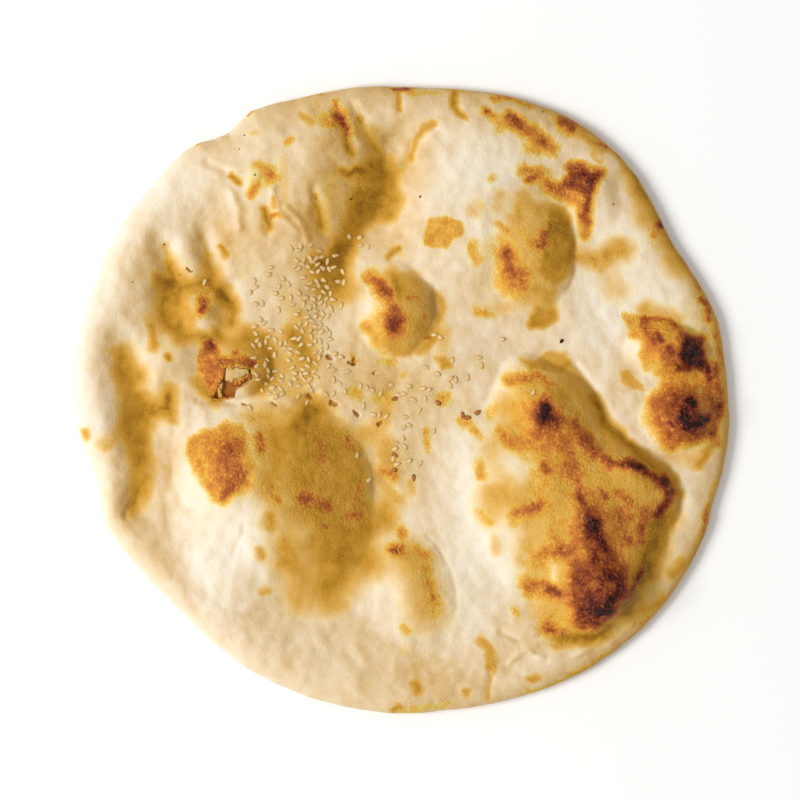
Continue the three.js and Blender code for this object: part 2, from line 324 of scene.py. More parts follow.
MUSTARD_AND_SHADE_STROKES = [
    # left valley and what lies round it: mustard and painted shade
    (0.5, 5, [(-105, 1), (-104, -12)]),
    (0.92, 3.2, [(-100, -4), (-94, -3), (-92.5, 3)]),
    (0.7, 2.5, [(-93, -4), (-92, -8)]),
    (0.6, 2.4, [(-112, -14), (-117, -17.5)]),
    (0.45, 3.5, [(-103, -14), (-99, -28), (-102, -40)]),
    (0.7, 1.2, [(-125.7, -13), (-125.2, -15)]),
    # upper left
    (0.8, 2.6, [(-92, 54), (-90, 49)]),
    (0.6, 1.4, [(-94.5, 61), (-93, 56), (-91, 52)]),
    (0.25, 3, [(-107, 64), (-100, 60), (-95, 54)]),
    (0.35, 3.5, [(-104, 57), (-98, 51), (-97, 42)]),
    (0.6, 4, [(-94, 47), (-84, 46), (-76, 47.5)]),
    (0.75, 3, [(-77, 55), (-75, 50)]),
    (0.55, 1.6, [(-78.5, 62), (-77.5, 57)]),
    (0.4, 4, [(-83, 58), (-80, 52)]),
    (0.9, 2.4, [(-71, 43), (-68, 38), (-67, 31)]),
    (0.85, 2.6, [(-74, 31), (-72, 24), (-80, 25), (-86, 26)]),
    (0.6, 3, [(-82, 29), (-88, 24)]),
    (0.7, 3, [(-87, 38), (-84, 33)]),
    (0.6, 3, [(-73.5, 41), (-72, 33)]),
    (0.4, 2.4, [(-80, 42), (-76, 43)]),
    (0.85, 1.8, [(-99, 30), (-98.5, 22)]),
    (0.55, 2.5, [(-101, 33), (-98, 38)]),
    (0.85, 1.1, [(-93.7, 17), (-92, 15.5)]),
    (0.35, 4, [(-95, 21), (-88, 18), (-90, 12)]),
    (0.9, 1.3, [(-71, 61), (-70, 58)]),
    (0.95, 1.4, [(-53.5, 76), (-53, 71), (-52.5, 68)]),
    (0.7, 0.9, [(-50, 81), (-49.5, 77)]),
    (0.95, 1.2, [(-67, 89.5), (-64.5, 87)]),
    (0.45, 3, [(-46, 96), (-46, 76)]),
    (0.35, 4, [(-58, 56), (-62, 50), (-60, 62)]),
    (0.5, 1.4, [(-59, 107), (-57, 107.5)]),
    # round the burst blister
    (0.9, 3.6, [(-62, 26), (-55, 24), (-52, 18), (-52, 10), (-56, 6)]),
    (0.9, 2.6, [(-80, 9), (-77, 4), (-74, 1)]),
    (0.7, 4, [(-68, 24), (-60, 20), (-56, 12)]),
    # lower left dome
    (0.8, 6, [(-50, -14), (-50, -34)]),
    (0.75, 5, [(-28, -60), (-22, -68), (-30, -76)]),
    (0.62, 4, [(-44, -60), (-38, -72)]),
    (0.55, 4, [(-37, 1), (-31, -1)]),
    (0.9, 4, [(-34, -4), (-42, -10)]),
    (0.6, 4, [(-60, -7), (-52, -6)]),
    (0.6, 6, [(-44, -44), (-44, -56)]),
    (0.7, 6, [(-34, -60), (-30, -74)]),
    (0.6, 6, [(-44, -66), (-40, -80)]),
    (0.6, 6, [(-22, -70), (-26, -80)]),
    (0.8, 6, [(-22, -62), (-14, -64)]),
    (0.8, 2.2, [(-52, -46), (-51, -50)]),
    (0.7, 2.4, [(-46, -56), (-46, -64)]),
    (0.7, 1.7, [(-56.5, -61.5), (-55.5, -62.5)]),
    (0.6, 1.5, [(-55, -76), (-52, -75)]),
    # top valley and its streaks: mustard and painted shade
    (0.6, 6, [(-27, 88), (-26, 76)]),
    (0.5, 5, [(-14, 90), (-12, 78)]),
    (0.8, 3, [(-22, 62), (-25, 52)]),
    (0.6, 4, [(-8, 100), (-10, 106)]),
    (0.5, 4, [(-28, 66), (-34, 66)]),
    (0.6, 1.2, [(-35, 84), (-34, 79)]),
    (0.9, 1.7, [(-33.5, 77), (-32.5, 73), (-31, 68)]),
    (0.5, 3.5, [(-36, 76), (-33, 68)]),
    (0.9, 2, [(-24, 92), (-21, 89), (-18, 91)]),
    (0.5, 0.8, [(-18.5, 121), (-17, 116), (-15, 110)]),
    (0.9, 1.7, [(-25, 109), (-22, 104), (-19, 98)]),
    (0.8, 1.6, [(-16, 112), (-14, 105), (-9, 99)]),
    (0.5, 3, [(-30, 104), (-26, 98)]),
    (0.75, 1.1, [(12.5, 109.5), (9, 107), (6, 103), (4, 97)]),
    (0.4, 2.6, [(9, 107), (4, 98)]),
    (0.5, 2.5, [(3, 98), (1, 92)]),
    (0.9, 1.2, [(21.5, 123), (21.3, 117), (23, 114), (26, 112.5)]),
    (0.85, 1.1, [(-0.5, 123), (-0.3, 116)]),
    (0.7, 1.5, [(-39, 113.5), (-35, 111)]),
    (0.6, 1.3, [(-34.5, 118), (-33.5, 116)]),
    (0.85, 1.1, [(-5, 56.5), (-2.5, 59), (0, 61)]),
    (0.4, 3, [(-3, 61), (2, 58)]),
    # under the seeds
    (0.95, 5, [(-32, 54), (-28, 45), (-24, 45)]),
    (0.9, 3.6, [(-43, 26), (-39, 20), (-37, 16)]),
    (0.6, 4, [(-40, 34), (-36, 28)]),
    (0.6, 4, [(-45, 14), (-38, 10)]),
    (0.45, 4, [(-46, 42), (-44, 38)]),
    (0.55, 3.5, [(-46, 5), (-42, 4)]),
    # middle
    (0.6, 2, [(0.7, 10)]),
    (0.45, 3, [(-9, 12), (-4, 9)]),
    (0.5, 2, [(6, 7), (8, 5)]),
    (0.4, 3, [(30, 16), (34, 13)]),
    (0.62, 4, [(-6, -3), (-10, -12), (-16, -15)]),
    (0.8, 3.6, [(-6, -43), (-5, -48)]),
    (0.6, 3, [(-9, -30), (-4, -36), (0, -40)]),
    (0.7, 4, [(-5, -19), (-4, -27)]),
    (0.6, 2, [(4, -33), (5, -37)]),
    # centre blister
    (0.75, 3, [(-4, 50), (-1, 42)]),
    (0.5, 5, [(0, 44), (-6, 24)]),
    (0.7, 1.6, [(14, 42), (17, 38), (15.5, 32)]),
    (0.8, 1.6, [(8, 19), (12, 24), (15, 28)]),
    (0.5, 3, [(18, 28), (17, 21)]),
    # upper right swell and blister
    (0.7, 1.6, [(48, 77), (48, 72)]),
    (0.6, 3.5, [(50, 80), (56, 76)]),
    (0.7, 2.6, [(48, 46), (54, 43), (62, 43)]),
    (0.6, 7, [(53, 74), (51, 60), (54, 50)]),
    (0.5, 2.5, [(40, 81), (38, 77)]),
    (0.5, 3, [(30, 76)]),
    (0.3, 6, [(16, 66)]),
    (0.55, 4, [(46, 72), (43, 60), (46, 50)]),
    (0.72, 3.4, [(70, 58), (80, 56), (88, 60)]),
    (0.45, 4, [(84, 48), (87, 43)]),
    (0.5, 3, [(31, 36), (44, 37)]),
    (0.6, 3.5, [(50, 40), (60, 40)]),
    # big dome, softer on the left
    (0.62, 6, [(52, 6), (60, 4)]),
    (0.65, 7, [(58, 0), (62, -30), (66, -60), (64, -82)]),
    (0.68, 5, [(44, -4), (45, -16)]),
    (0.55, 5, [(37, -20), (42, -32), (38, -44)]),
    (0.5, 6, [(48, -40), (54, -46)]),
    (0.5, 5, [(56, -78), (54, -70)]),
    # the big dome's right flank, turned from the lamp: the darkest painted shade
    (1.0, 4.5, [(105, -46), (100.5, -58), (97, -70), (90, -83)]),
    (0.85, 2, [(76, 1), (81, -8), (90, -17), (100, -25), (108, -34)]),
    (0.6, 5, [(48, -26), (52, -44), (52, -58)]),
    (0.6, 4, [(36, -38), (44, -38)]),
    (0.9, 3.4, [(84, -90), (76, -95), (64, -95)]),
    (0.55, 5, [(60, -90), (56, -86)]),
    # right edge
    (0.85, 2.6, [(88, 97), (95, 88), (100, 79), (104, 71), (109, 63), (115, 54), (120, 46)]),
    (0.62, 4, [(89, 94), (96, 83), (99, 74), (104, 65), (113, 52)]),
    (0.4, 5, [(118, 42), (122, 26), (124, 14)]),
    (0.8, 2.4, [(63, 113), (72, 107), (80, 102), (88, 97)]),
    (0.6, 1.1, [(78.5, 100), (77.5, 97), (79, 95.5), (81, 97)]),
    (0.8, 2.2, [(121, 42), (126, 28)]),
    (0.55, 3, [(127, 22), (130, 8), (130, -6), (127, -18)]),
    (0.85, 1.8, [(119, -25), (122, -21), (127, -15)]),
    (0.5, 4, [(108, -22), (118, -24)]),
    (0.6, 2.5, [(98, 36), (111, 33)]),
    (0.6, 2, [(97, 36), (99, 38)]),
    (0.65, 2.4, [(126, -34), (123, -46), (119, -58)]),
    (0.8, 2.6, [(114, -65), (109, -69)]),
    (0.75, 3.5, [(105, -80), (98, -84)]),
    (0.4, 2.5, [(118, -56), (108, -72), (96, -90), (84, -102), (66, -113), (46, -119)]),
    (0.25, 6, [(112, -60), (100, -80), (84, -97)]),
    # bottom
    (0.62, 7, [(4, -64), (9, -74), (11, -84)]),
    (0.55, 4, [(-3, -61), (8, -61)]),
    (0.6, 1.0, [(35, -110), (35.5, -120)]),
    (0.8, 2, [(6, -113), (7, -116)]),
    (0.75, 1.3, [(-2, -124), (1, -122)]),
    (0.45, 2, [(38, -56), (39, -60)]),
    (0.55, 2, [(48, -64), (49, -65)]),
    (0.45, 2.5, [(0, -100), (8, -104)]),
    (0.45, 0.9, [(56, -97), (63, -98.5), (70, -96)]),
    (0.45, 0.9, [(66, -93.5), (76, -96.5), (84, -92)]),
    (0.35, 0.9, [(40, -92), (48, -96), (56, -94)]),
]
print("mustard marks:", len(MUSTARD_AND_SHADE_AREAS) + len(MUSTARD_AND_SHADE_STROKES))

# %% [markdown]
# ## Browning and char
# The heat's marks, as levels: 0.2 is light gold, 0.35 gold, 0.5 orange, 0.62 orange-brown, 0.75 brown,
# 0.87 dark brown and 1 char. Where flour kept the skin pale, a few more strokes wipe the others out.

# %% Browning and char
BAKED_AREAS = [
    # lower left dome's browned top
    (0.46, 1.8, [(-84, -16), (-80, -13), (-74, -11.5), (-69, -10), (-64, -11.5), (-62, -16), (-61, -28),
                 (-62, -33), (-66, -37), (-70, -40), (-74, -38), (-77, -34), (-81, -28), (-84, -22)]),
    # burst blister
    (0.56, 1.6, [(-80, 13), (-79, 19), (-77, 23), (-74, 24), (-72, 20), (-71, 16), (-70, 11), (-72, 7),
                 (-76, 6), (-79, 9)]),
    # block on the upper right swell
    (0.40, 1.0, [(10.5, 61.5), (10.5, 70), (13, 71.5), (18, 73), (24, 70.5), (24, 66), (19, 61.5)]),
    # star
    (0.73, 2.0, [(69, 93.5), (76, 91), (81, 92), (78, 86), (75.5, 80), (71, 84), (64, 85), (69, 89)]),
    # right edge blister: gold skin, then the char
    (0.42, 1.4, [(89, 33), (97, 33), (106, 32.5), (112, 28.5), (119, 25), (123, 16), (125, 6), (126, -3),
                 (124, -11), (116, -16), (108, -20), (102, -14), (99, -7), (100, 0), (104, 5),
                 (104, 9), (98, 12), (96, 18), (98, 24), (92, 26)]),
    (1.0, 1.4, [(111.5, 18), (113, 22), (116, 24.5), (119.5, 22.5), (122, 18), (122, 13.5), (118, 13),
                (114, 14)]),
    # big dome
    (0.39, 4, [(46, 2), (56, 7), (64, 4), (72, -6), (80, -18), (92, -24), (102, -32), (102, -46),
               (97, -58), (92, -74), (84, -90), (72, -91), (60, -87), (58, -74), (58, -56),
               (54, -42), (48, -30), (43, -14)]),
    (0.68, 2.8, [(69, -64), (77, -61), (86, -63), (90, -69), (90, -78), (85, -85), (77, -90), (71, -88),
                 (68, -78)]),
]
BAKED_STROKES = [
    # rim, from the upper left round to the right
    (0.6, 0.7, [(-60, 115.2), (-52, 118.7)]),
    (0.28, 0.7, [(-82, 102), (-76, 103.5)]),
    (0.5, 0.9, [(-37, 121.3), (-30, 122.6)]),
    (0.45, 0.8, [(-26, 123.8), (-20, 124)]),
    (0.55, 0.9, [(-7, 125), (0, 124.5), (6, 125)]),
    (0.65, 1.0, [(-3, 124), (2, 124.5)]),
    (0.38, 1.6, [(4, 122.5), (14, 122.5)]),
    (0.4, 1.0, [(19, 123.5), (25, 123)]),
    (0.5, 1.3, [(38, 121.5), (45, 120), (53, 117)]),
    (0.72, 2.4, [(65, 110.5), (68.5, 109)]),
    (0.45, 1.8, [(64, 113), (74, 107)]),
    (0.6, 1.3, [(79.5, 103), (82, 101)]),
    (0.5, 1.5, [(88, 98), (94, 90), (98, 82)]),
    (0.97, 1.3, [(104.6, 69.5)]),
    (0.62, 2.6, [(104, 70)]),
    (0.52, 1.6, [(103.5, 67), (101, 65)]),
    (0.5, 1.6, [(107, 66), (112, 58)]),
    (0.5, 1.8, [(113, 57), (120, 45)]),
    (0.66, 1.6, [(120.5, 40), (123.5, 33)]),
    (0.55, 1.6, [(125.5, 27), (129, 14)]),
    (0.5, 1.5, [(123.5, -42), (121, -55), (116, -65)]),
    (0.5, 1.2, [(110, -70)]),
    (0.42, 1.4, [(104, -79), (96, -89)]),
    (0.4, 1.3, [(85, -100), (74, -107), (64, -112.5), (52, -117)]),
    # upper left swell
    (0.48, 2.4, [(-51.5, 89), (-50.5, 88)]),
    (0.36, 2.4, [(-56, 92), (-52, 91)]),
    (0.48, 2.0, [(-57.5, 84.5), (-58.5, 82)]),
    (0.22, 5, [(-55, 88), (-58, 84)]),
    (0.5, 1.5, [(-52.5, 70), (-51, 72), (-48.5, 73)]),
    (0.55, 1.4, [(-25.5, 118), (-25, 114)]),
    (0.74, 1.8, [(-24.8, 113), (-23.5, 109.5)]),
    (0.62, 1.4, [(-23, 108), (-21.5, 104)]),
    (0.45, 3.2, [(-25, 113), (-23, 108)]),
    (0.5, 1.7, [(-30, 111), (-27.5, 110)]),
    (0.3, 3, [(-32, 113), (-20, 114)]),
    (0.42, 1.6, [(-16, 112), (-14.5, 106)]),
    (0.3, 2.4, [(-19, 108), (-18, 103)]),
    (0.4, 1.5, [(-45, 103), (-42.5, 104)]),
    (0.5, 1.6, [(-31.7, 69.5)]),
    (0.48, 0.8, [(-34, 82), (-33, 77)]),
    (0.42, 1.8, [(-18, 90), (-16, 84)]),
    (0.46, 1.5, [(-21.5, 89.5)]),
    # button and burst blister
    (0.62, 2.6, [(-78, 40), (-78.5, 36)]),
    (0.76, 1.0, [(-77.5, 37.5), (-78.5, 36)]),
    (0.34, 3.6, [(-78, 39), (-80, 33)]),
    (0.52, 1.5, [(-68.5, 32.5), (-67, 31)]),
    (0.74, 2.0, [(-76, 22.5), (-75, 21)]),
    (0.58, 2.0, [(-69, 15.5), (-63, 17), (-59.5, 15.5)]),
    (0.68, 1.1, [(-61, 16.5), (-58.5, 15)]),
    (0.6, 1.0, [(-65.7, 19.8)]),
    (0.4, 1.8, [(-49, 7.5), (-53, 8)]),
    (0.5, 2.5, [(-78, 8), (-74, 5)]),
    # lower left dome
    (0.58, 5.5, [(-67.5, -20), (-66, -30)]),
    (0.82, 1.1, [(-67.6, -28)]),
    (0.6, 2.2, [(-70, -36), (-67, -33)]),
    (0.54, 2.6, [(-55.5, -15.5), (-54.5, -18.5)]),
    (0.34, 2.6, [(-60, -8), (-53, -6.5)]),
    (0.32, 4, [(-57, -26), (-53, -36)]),
    (0.46, 2.6, [(-52, -35), (-49, -40)]),
    (0.53, 4.0, [(-34, -15), (-31, -24)]),
    (0.53, 2.4, [(-20, -17), (-19, -20)]),
    (0.6, 4.2, [(-38, -39), (-30, -43)]),
    (0.53, 2.8, [(-16, -34), (-15.5, -40)]),
    (0.58, 3.4, [(-20, -47), (-17, -46)]),
    (0.57, 2.4, [(-30, -50)]),
    (0.42, 6, [(-40, -28), (-24, -36)]),
    # middle
    (0.36, 2, [(-8, 16), (-4, 15)]),
    (0.45, 1.0, [(-19.5, 17), (-18.5, 15)]),
    (0.38, 2.6, [(-19, 4), (-16, 3)]),
    (0.42, 3.0, [(-7.5, 2), (-4.5, 0)]),
    (0.42, 2.4, [(16.5, -0.5), (18, 0.5)]),
    (0.38, 1.3, [(11, -12), (11.5, -20)]),
    (0.4, 2.0, [(24.5, -8.5), (28, -8)]),
    (0.36, 1.6, [(30, -11), (31.5, -15)]),
    (0.38, 2.4, [(31.5, -25), (32.5, -30)]),
    (0.3, 1.3, [(40, -28), (40.5, -31)]),
    (0.4, 1.8, [(31, 35), (38, 35)]),
    (0.36, 2.8, [(-5, -18), (-4, -22)]),
    (0.52, 2.4, [(-6.5, -29.5), (-3, -30)]),
    (0.34, 1.5, [(-2, -36), (0.5, -42)]),
    (0.3, 2, [(36, -40), (40, -38)]),
    (0.34, 2.4, [(36, -6), (38, -4)]),
    (0.48, 2.6, [(41, -12), (43, -16)]),
    (0.34, 2.4, [(32, -46), (36, -48)]),
    # centre blister
    (0.52, 2.8, [(-11, 49), (-7, 44)]),
    (0.6, 2.0, [(-9, 48), (-5, 41)]),
    (0.5, 3, [(-5, 42), (-3, 36)]),
    (0.66, 4.0, [(-1.5, 32), (-1.5, 28)]),
    (0.82, 1.8, [(-3, 30.5), (-2.5, 28.5)]),
    (0.42, 6, [(-2, 33), (-3, 25)]),
    (0.42, 2.2, [(-13, 30), (-10, 25)]),
    (0.5, 1.8, [(3, 40), (6, 40)]),
    (0.5, 1.5, [(9.8, 33), (10, 31)]),
    (0.6, 0.8, [(9.5, 25), (11, 26)]),
    # upper right swell and blister
    (0.27, 2, [(29, 76), (32, 78)]),
    (0.3, 1.8, [(36.3, 87.5)]),
    (0.22, 1.6, [(39, 80)]),
    (0.36, 1.8, [(39, 70), (42, 67.5)]),
    (0.36, 2.2, [(28.5, 62), (31, 55)]),
    (0.44, 5.5, [(42, 59), (44, 52), (48, 49)]),
    (0.6, 3.4, [(42.5, 58), (44, 53), (48, 49.5)]),
    (0.62, 3.0, [(57.5, 66), (57.5, 62)]),
    (0.44, 5, [(58, 66), (56, 62)]),
    (0.38, 3, [(48, 66), (52, 63)]),
    (0.55, 1.6, [(62, 53)]),
    (0.5, 2.0, [(34, 115.5), (36, 114)]),
    (0.58, 1.3, [(35, 115)]),
    (0.34, 2.4, [(38, 112), (40, 108)]),
    (0.64, 2.3, [(43, 112.5), (46, 110)]),
    (0.46, 3, [(46, 111), (50, 108), (55, 104), (60, 101)]),
    (0.54, 2.4, [(47, 109), (51, 107)]),
    (0.54, 2.2, [(55, 103.5), (60, 101)]),
    (0.36, 2.4, [(51, 100), (55, 99)]),
    (0.64, 1.6, [(67, 94), (71, 90.5), (76, 88), (75, 80), (73.5, 73)]),
    (0.62, 1.6, [(76, 89), (81, 91)]),
    (0.48, 2.6, [(60, 84.5), (67, 82), (72, 77)]),
    (0.3, 4.5, [(56, 87), (70, 82)]),
    (0.45, 3, [(71, 77), (73, 70)]),
    (0.42, 4, [(44, 45), (49, 44)]),
    (0.55, 2.0, [(75, 80), (74.5, 74), (74, 67)]),
    (0.5, 2.4, [(50, 91.5), (56, 90)]),
    (0.66, 1.4, [(50.5, 87), (53, 88.5)]),
    (0.42, 2.6, [(57, 87), (63, 84)]),
    (0.35, 2.2, [(69, 58), (75, 56), (82, 57)]),
    (0.4, 1.6, [(82, 57.5), (88, 59.5)]),
    (0.45, 1.6, [(76, 57)]),
    (0.34, 1.8, [(77, 54)]),
    # right edge blister
    (0.58, 2.4, [(98, 31), (99, 25), (103, 21), (107, 16)]),
    (0.62, 1.2, [(98, 33), (107, 32.5), (112, 29)]),
    (0.86, 1.2, [(104, 24), (103, 26)]),
    (0.78, 0.9, [(107, 21)]),
    (0.62, 3, [(108, 19), (110, 15)]),
    (0.6, 2.4, [(112, 27), (119, 25)]),
    (0.88, 1.5, [(111, 13), (115, 12), (122, 12.5), (124, 9)]),
    (0.88, 2.0, [(114, 25), (119, 24)]),
    (0.68, 7, [(112, -4)]),
    (0.82, 5.5, [(113, -3), (116, -8)]),
    (0.97, 1.7, [(114.5, 0), (116, -2.5), (113, -7), (114, -10.5), (118, -11), (123, -8)]),
    (0.9, 1.2, [(107, -9), (109, -11)]),
    (0.62, 3, [(104, -1), (103, -9), (107, -16), (116, -15), (124, -13)]),
    (0.6, 2.2, [(125, -10), (127, -17)]),
    (0.58, 2.4, [(124, 7), (125, -4)]),
    (0.64, 2.0, [(126, 14), (127.5, 2), (126.5, -8)]),
    # big dome, from its upper knob along the ridge to the lower knob
    (0.52, 3.0, [(45, 7), (54, 8.5), (60, 6)]),
    (0.64, 5.5, [(57, -7)]),
    (0.84, 3.6, [(57.5, -5), (59, -9)]),
    (0.5, 4, [(54, -14), (58, -17)]),
    (1.0, 2.2, [(57.5, -4), (58.5, -8)]),
    (0.62, 3.2, [(66, -9), (70, -12), (75, -17)]),
    (0.7, 2.2, [(73, -15), (79, -22), (84, -25.5), (91, -24.5)]),
    (0.96, 1.5, [(93.5, -25), (95.5, -26)]),
    (0.8, 1.4, [(91, -24.5), (97, -27), (101, -29), (105, -32)]),
    (0.86, 1.8, [(104, -31), (107, -36), (106, -41), (102, -45)]),
    (0.6, 3.2, [(93, -25), (101, -29), (108, -37), (104, -46)]),
    (0.68, 2.0, [(58, -27), (59, -28)]),
    (0.5, 5, [(66, -18), (70, -34)]),
    (0.48, 4, [(44, -15), (47, -20)]),
    (0.52, 3.0, [(46, -45), (52, -45), (55, -42)]),
    (0.66, 1.6, [(79.5, -37.5), (82, -39)]),
    (0.56, 2.2, [(86, -37), (90, -39)]),
    (0.68, 2.6, [(70, -38), (75, -43)]),
    (0.74, 5.5, [(75.5, -48)]),
    (0.86, 3.6, [(75, -47), (77, -51)]),
    (0.7, 5, [(76, -53), (80, -58)]),
    (0.97, 1.8, [(75.5, -47), (77, -50)]),
    (0.54, 3.4, [(87, -45), (89, -54)]),
    (0.64, 3.0, [(97, -44), (96, -56)]),
    (0.64, 1.6, [(91, -46)]),
    (0.64, 1.6, [(91, -56)]),
    (0.93, 1.4, [(79, -53.5), (82.5, -60)]),
    (0.55, 4, [(66, -58), (74, -58)]),
    (0.66, 3, [(72, -70), (71, -80), (73, -88)]),
    (0.82, 3, [(83, -69.5), (87, -71), (87, -76), (83, -81)]),
    (0.86, 2.2, [(77, -77), (77, -82), (82, -84)]),
    (0.96, 1.3, [(76, -82), (78, -84.5), (82, -83)]),
    (0.78, 4, [(74, -84), (78, -86)]),
    (0.88, 0.9, [(78, -76), (81, -72)]),
    (0.84, 0.9, [(73, -67)]),
    (0.6, 3, [(78, -64), (84, -64)]),
    (0.74, 1.5, [(96.5, -68), (94, -73), (91, -78)]),
    (0.5, 3, [(98, -66), (92, -80)]),
    (0.54, 2.6, [(52, -75), (57, -73), (63, -78)]),
    (0.66, 1.4, [(59, -75), (62, -77)]),
    (0.4, 3, [(51, -72), (55, -78)]),
    (0.52, 3, [(57, -62), (63, -60)]),
    (0.4, 3.4, [(52, -60), (54, -66)]),
    (0.58, 1.6, [(58.5, -92), (61.5, -92.5)]),
    (0.5, 3, [(58, -90), (66, -94)]),
    (0.36, 1.8, [(46, -84), (47, -86.5)]),
    # bottom
    (0.5, 2.2, [(0, -52.5), (1.5, -54)]),
    (0.6, 2.4, [(-3, -61), (0, -61)]),
    (0.85, 0.6, [(-1.2, -61.3)]),
    (0.5, 2.2, [(7, -60), (9, -61.5)]),
    (0.38, 3.4, [(8, -64), (12, -74), (14, -84)]),
    (0.5, 2, [(12, -74), (13.5, -80)]),
    (0.36, 2, [(2, -91), (3.5, -93)]),
    (0.36, 1.4, [(34, -98), (37, -103), (36.5, -108)]),
    (0.4, 1.4, [(26.5, -117)]),
    (0.36, 1.5, [(6, -113), (7, -116)]),
    (0.3, 2.5, [(-2, -123.5), (20, -122)]),
]
FLOUR = [
    (0.5, 1.6, [(60.5, -66), (60.8, -70)]),
    (0.6, 4, [(44, -25), (48, -27)]),
    (0.35, 2.4, [(98, 9), (100, 11)]),
    (0.5, 1.5, [(-79, 29.5), (-74, 31)]),
    (0.6, 1.6, [(83, 97), (86, 94)]),
    (0.4, 1.6, [(69, 76), (71, 68)]),
    (0.5, 2, [(66, 42), (72, 40)]),
]
print("browned marks:", len(BAKED_AREAS) + len(BAKED_STROKES), "and", len(FLOUR), "strokes of flour")

# %% [markdown]
# ## Folds, pricks and the burst
# Smaller marks go on top: creases where the dough was pulled, raised wrinkles where a blister's skin
# shrank as it charred, and the baker's pricks, which let steam out so that the middle stays flat. One
# blister burst and left a ragged hole. Charred skin is also rough, so the relief asks how far each place
# was baked.

# %% Fine relief
# path, half width, height (negative is a crease)
FOLDS = [
    ([(-19, 119), (-15, 112), (-14, 105), (-10, 100)], 2.2, -0.7),
    ([(0, 125), (-0.5, 115)], 1.6, -0.4),
    ([(22, 124), (21.5, 117), (25, 112)], 1.6, -0.5),
    ([(12, 109), (8, 106), (5, 101), (3, 94)], 2.2, -0.9),
    ([(-25, 114), (-22, 107), (-19, 99)], 2.2, -0.8),
    ([(-34, 84), (-33, 76), (-31, 67)], 2.2, -0.9),
    ([(-77, 95), (-67, 89), (-63, 86)], 1.5, -0.6),
    ([(-67, 82), (-65, 76), (-64, 69)], 2.4, 0.8),
    ([(-54, 78), (-52, 67)], 1.6, -0.6),
    ([(-80, -0.5), (-62, -1), (-46, 0), (-34, 2)], 1.5, -1.0),
    ([(-103, -36), (-109, -46)], 1.4, -0.8),
    ([(11, -54), (16, -60), (20, -67), (22.5, -76), (22, -86)], 0.8, -0.25),
    ([(36, -107), (36, -122)], 1.3, -0.5),
    ([(70, 14), (78, 2), (85, -11), (96, -20), (106, -25), (113, -36), (109, -50)], 1.6, -1.0),
    ([(56, -98), (63, -98.5), (70, -96)], 1.1, -0.6),
    ([(54, -101), (60, -100.5)], 1.1, -0.5),
    ([(40, -92), (48, -96), (56, -94)], 1.3, -0.5),
    ([(60, -104), (70, -102), (80, -96)], 1.2, 0.5),
    ([(66, -94), (76, -97), (84, -92)], 1.1, -0.6),
    ([(84, -98), (93, -89)], 1.3, 0.5),
    ([(44, -104), (51, -100), (57, -103)], 1.2, 0.5),
    ([(-51, 84), (-48, 74), (-41, 67)], 1.5, 0.6),
    ([(-45, 76), (-40, 72), (-37, 64)], 1.4, 0.6),
    ([(68, -10), (76, -18), (84, -25), (95, -25.5), (104, -31), (107, -38)], 2.0, 1.2),
    ([(45, 8), (50, 15), (61, 18.5)], 1.6, -0.5),
    ([(97, -66), (92, -79), (84, -86)], 1.4, 0.7),
    ([(14, 42), (15.5, 33), (13, 25)], 1.2, -0.6),
    ([(-66, -62), (-62, -50)], 0.9, -0.25),
]
# half width, path
PRICKS = [
    (0.7, [(-28.6, 17.2), (-27.2, 16.6)]), (0.5, [(-20.4, 15.2), (-18, 14)]),
    (0.45, [(-18.4, 16.6), (-18.8, 14.2)]), (0.6, [(-37, 2.2), (-35.6, 1)]),
    (0.75, [(-27.5, -1), (-25.8, -1.7)]), (0.5, [(-18, -4.5), (-16.5, -6)]),
    (0.6, [(-8.5, -9.8), (-7.5, -8.8)]), (0.45, [(-50.8, -1.2), (-49.4, -2.2)]),
    (0.35, [(-62.5, -1.6), (-60.8, -2.3)]), (0.4, [(-10.5, 10.5), (-9, 11.2)]),
    (0.45, [(-84.8, 52.4), (-83, 51.2)]),
]
PRICK_DEPTH = 1.0
HOLE = [
    (-74, 0.8), (-72.3, 4), (-71, 7), (-69.8, 10), (-69, 12.2), (-66.5, 13), (-64.5, 12), (-60, 11.8),
    (-59.3, 9), (-62, 6.8), (-66, 4.8), (-67, 1.6), (-70, 0.9),
]
HOLE_DEPTH = 2.2
HOLE_EDGE = 0.8
CHAR_FROM = 0.6  # browning from which the skin is cracked and rough
CHAR_ROUGH = 1.1


def fine_relief(x, y, baked):
    """Folds, pricks, the hole, rough char and the dough's own lumps, to add to the big forms."""
    near_x, near_y = wander(x, y, [(1.3, 7, 7)])
    height = 0.5 * lumps(x, y, 12, 9) + 0.3 * lumps(x, y, 5, 10) + 0.09 * lumps(x, y, 2.2, 11)
    for path, width, rise in FOLDS:
        height += rise * np.exp(-((distance_to_path(near_x, near_y, path) / width) ** 2))
    ragged_x, ragged_y = wander(x, y, [(0.5, 1.2, 8)])
    for half_width, path in PRICKS:
        height -= PRICK_DEPTH * soft_step(1.6 - distance_to_path(ragged_x, ragged_y, path) / half_width)
    height -= HOLE_DEPTH * soft_step(1 - distance_to_path(x, y, HOLE, filled=True) / HOLE_EDGE)
    burnt = soft_step((baked - CHAR_FROM) / (1 - CHAR_FROM))
    return height + CHAR_ROUGH * burnt * (0.7 * lumps(x, y, 2.4, 12) + 0.5 * lumps(x, y, 1.2, 13))


print("folds:", len(FOLDS), "pricks:", len(PRICKS))

# %% [markdown]
# ## The bread's mesh
# A ball is the natural start, as it is for the baker: an icosphere has no seam and no pole, and it stays
# closed when it is pressed flat. Its upper part becomes the upper skin, the rest the underside. The upper
# skin needs the detail, so its edges are subdivided twice more, and once again near the hole and pricks.

# %% Ball of dough
BALL_STEPS = 6
UPPER_STEPS = 2
FINE_REACH = 1.6  # how far round a prick or the hole the mesh is finest
CURL = 4.0  # extra length of skin that wraps up and over the rim
UNDER_CURL = 1.5


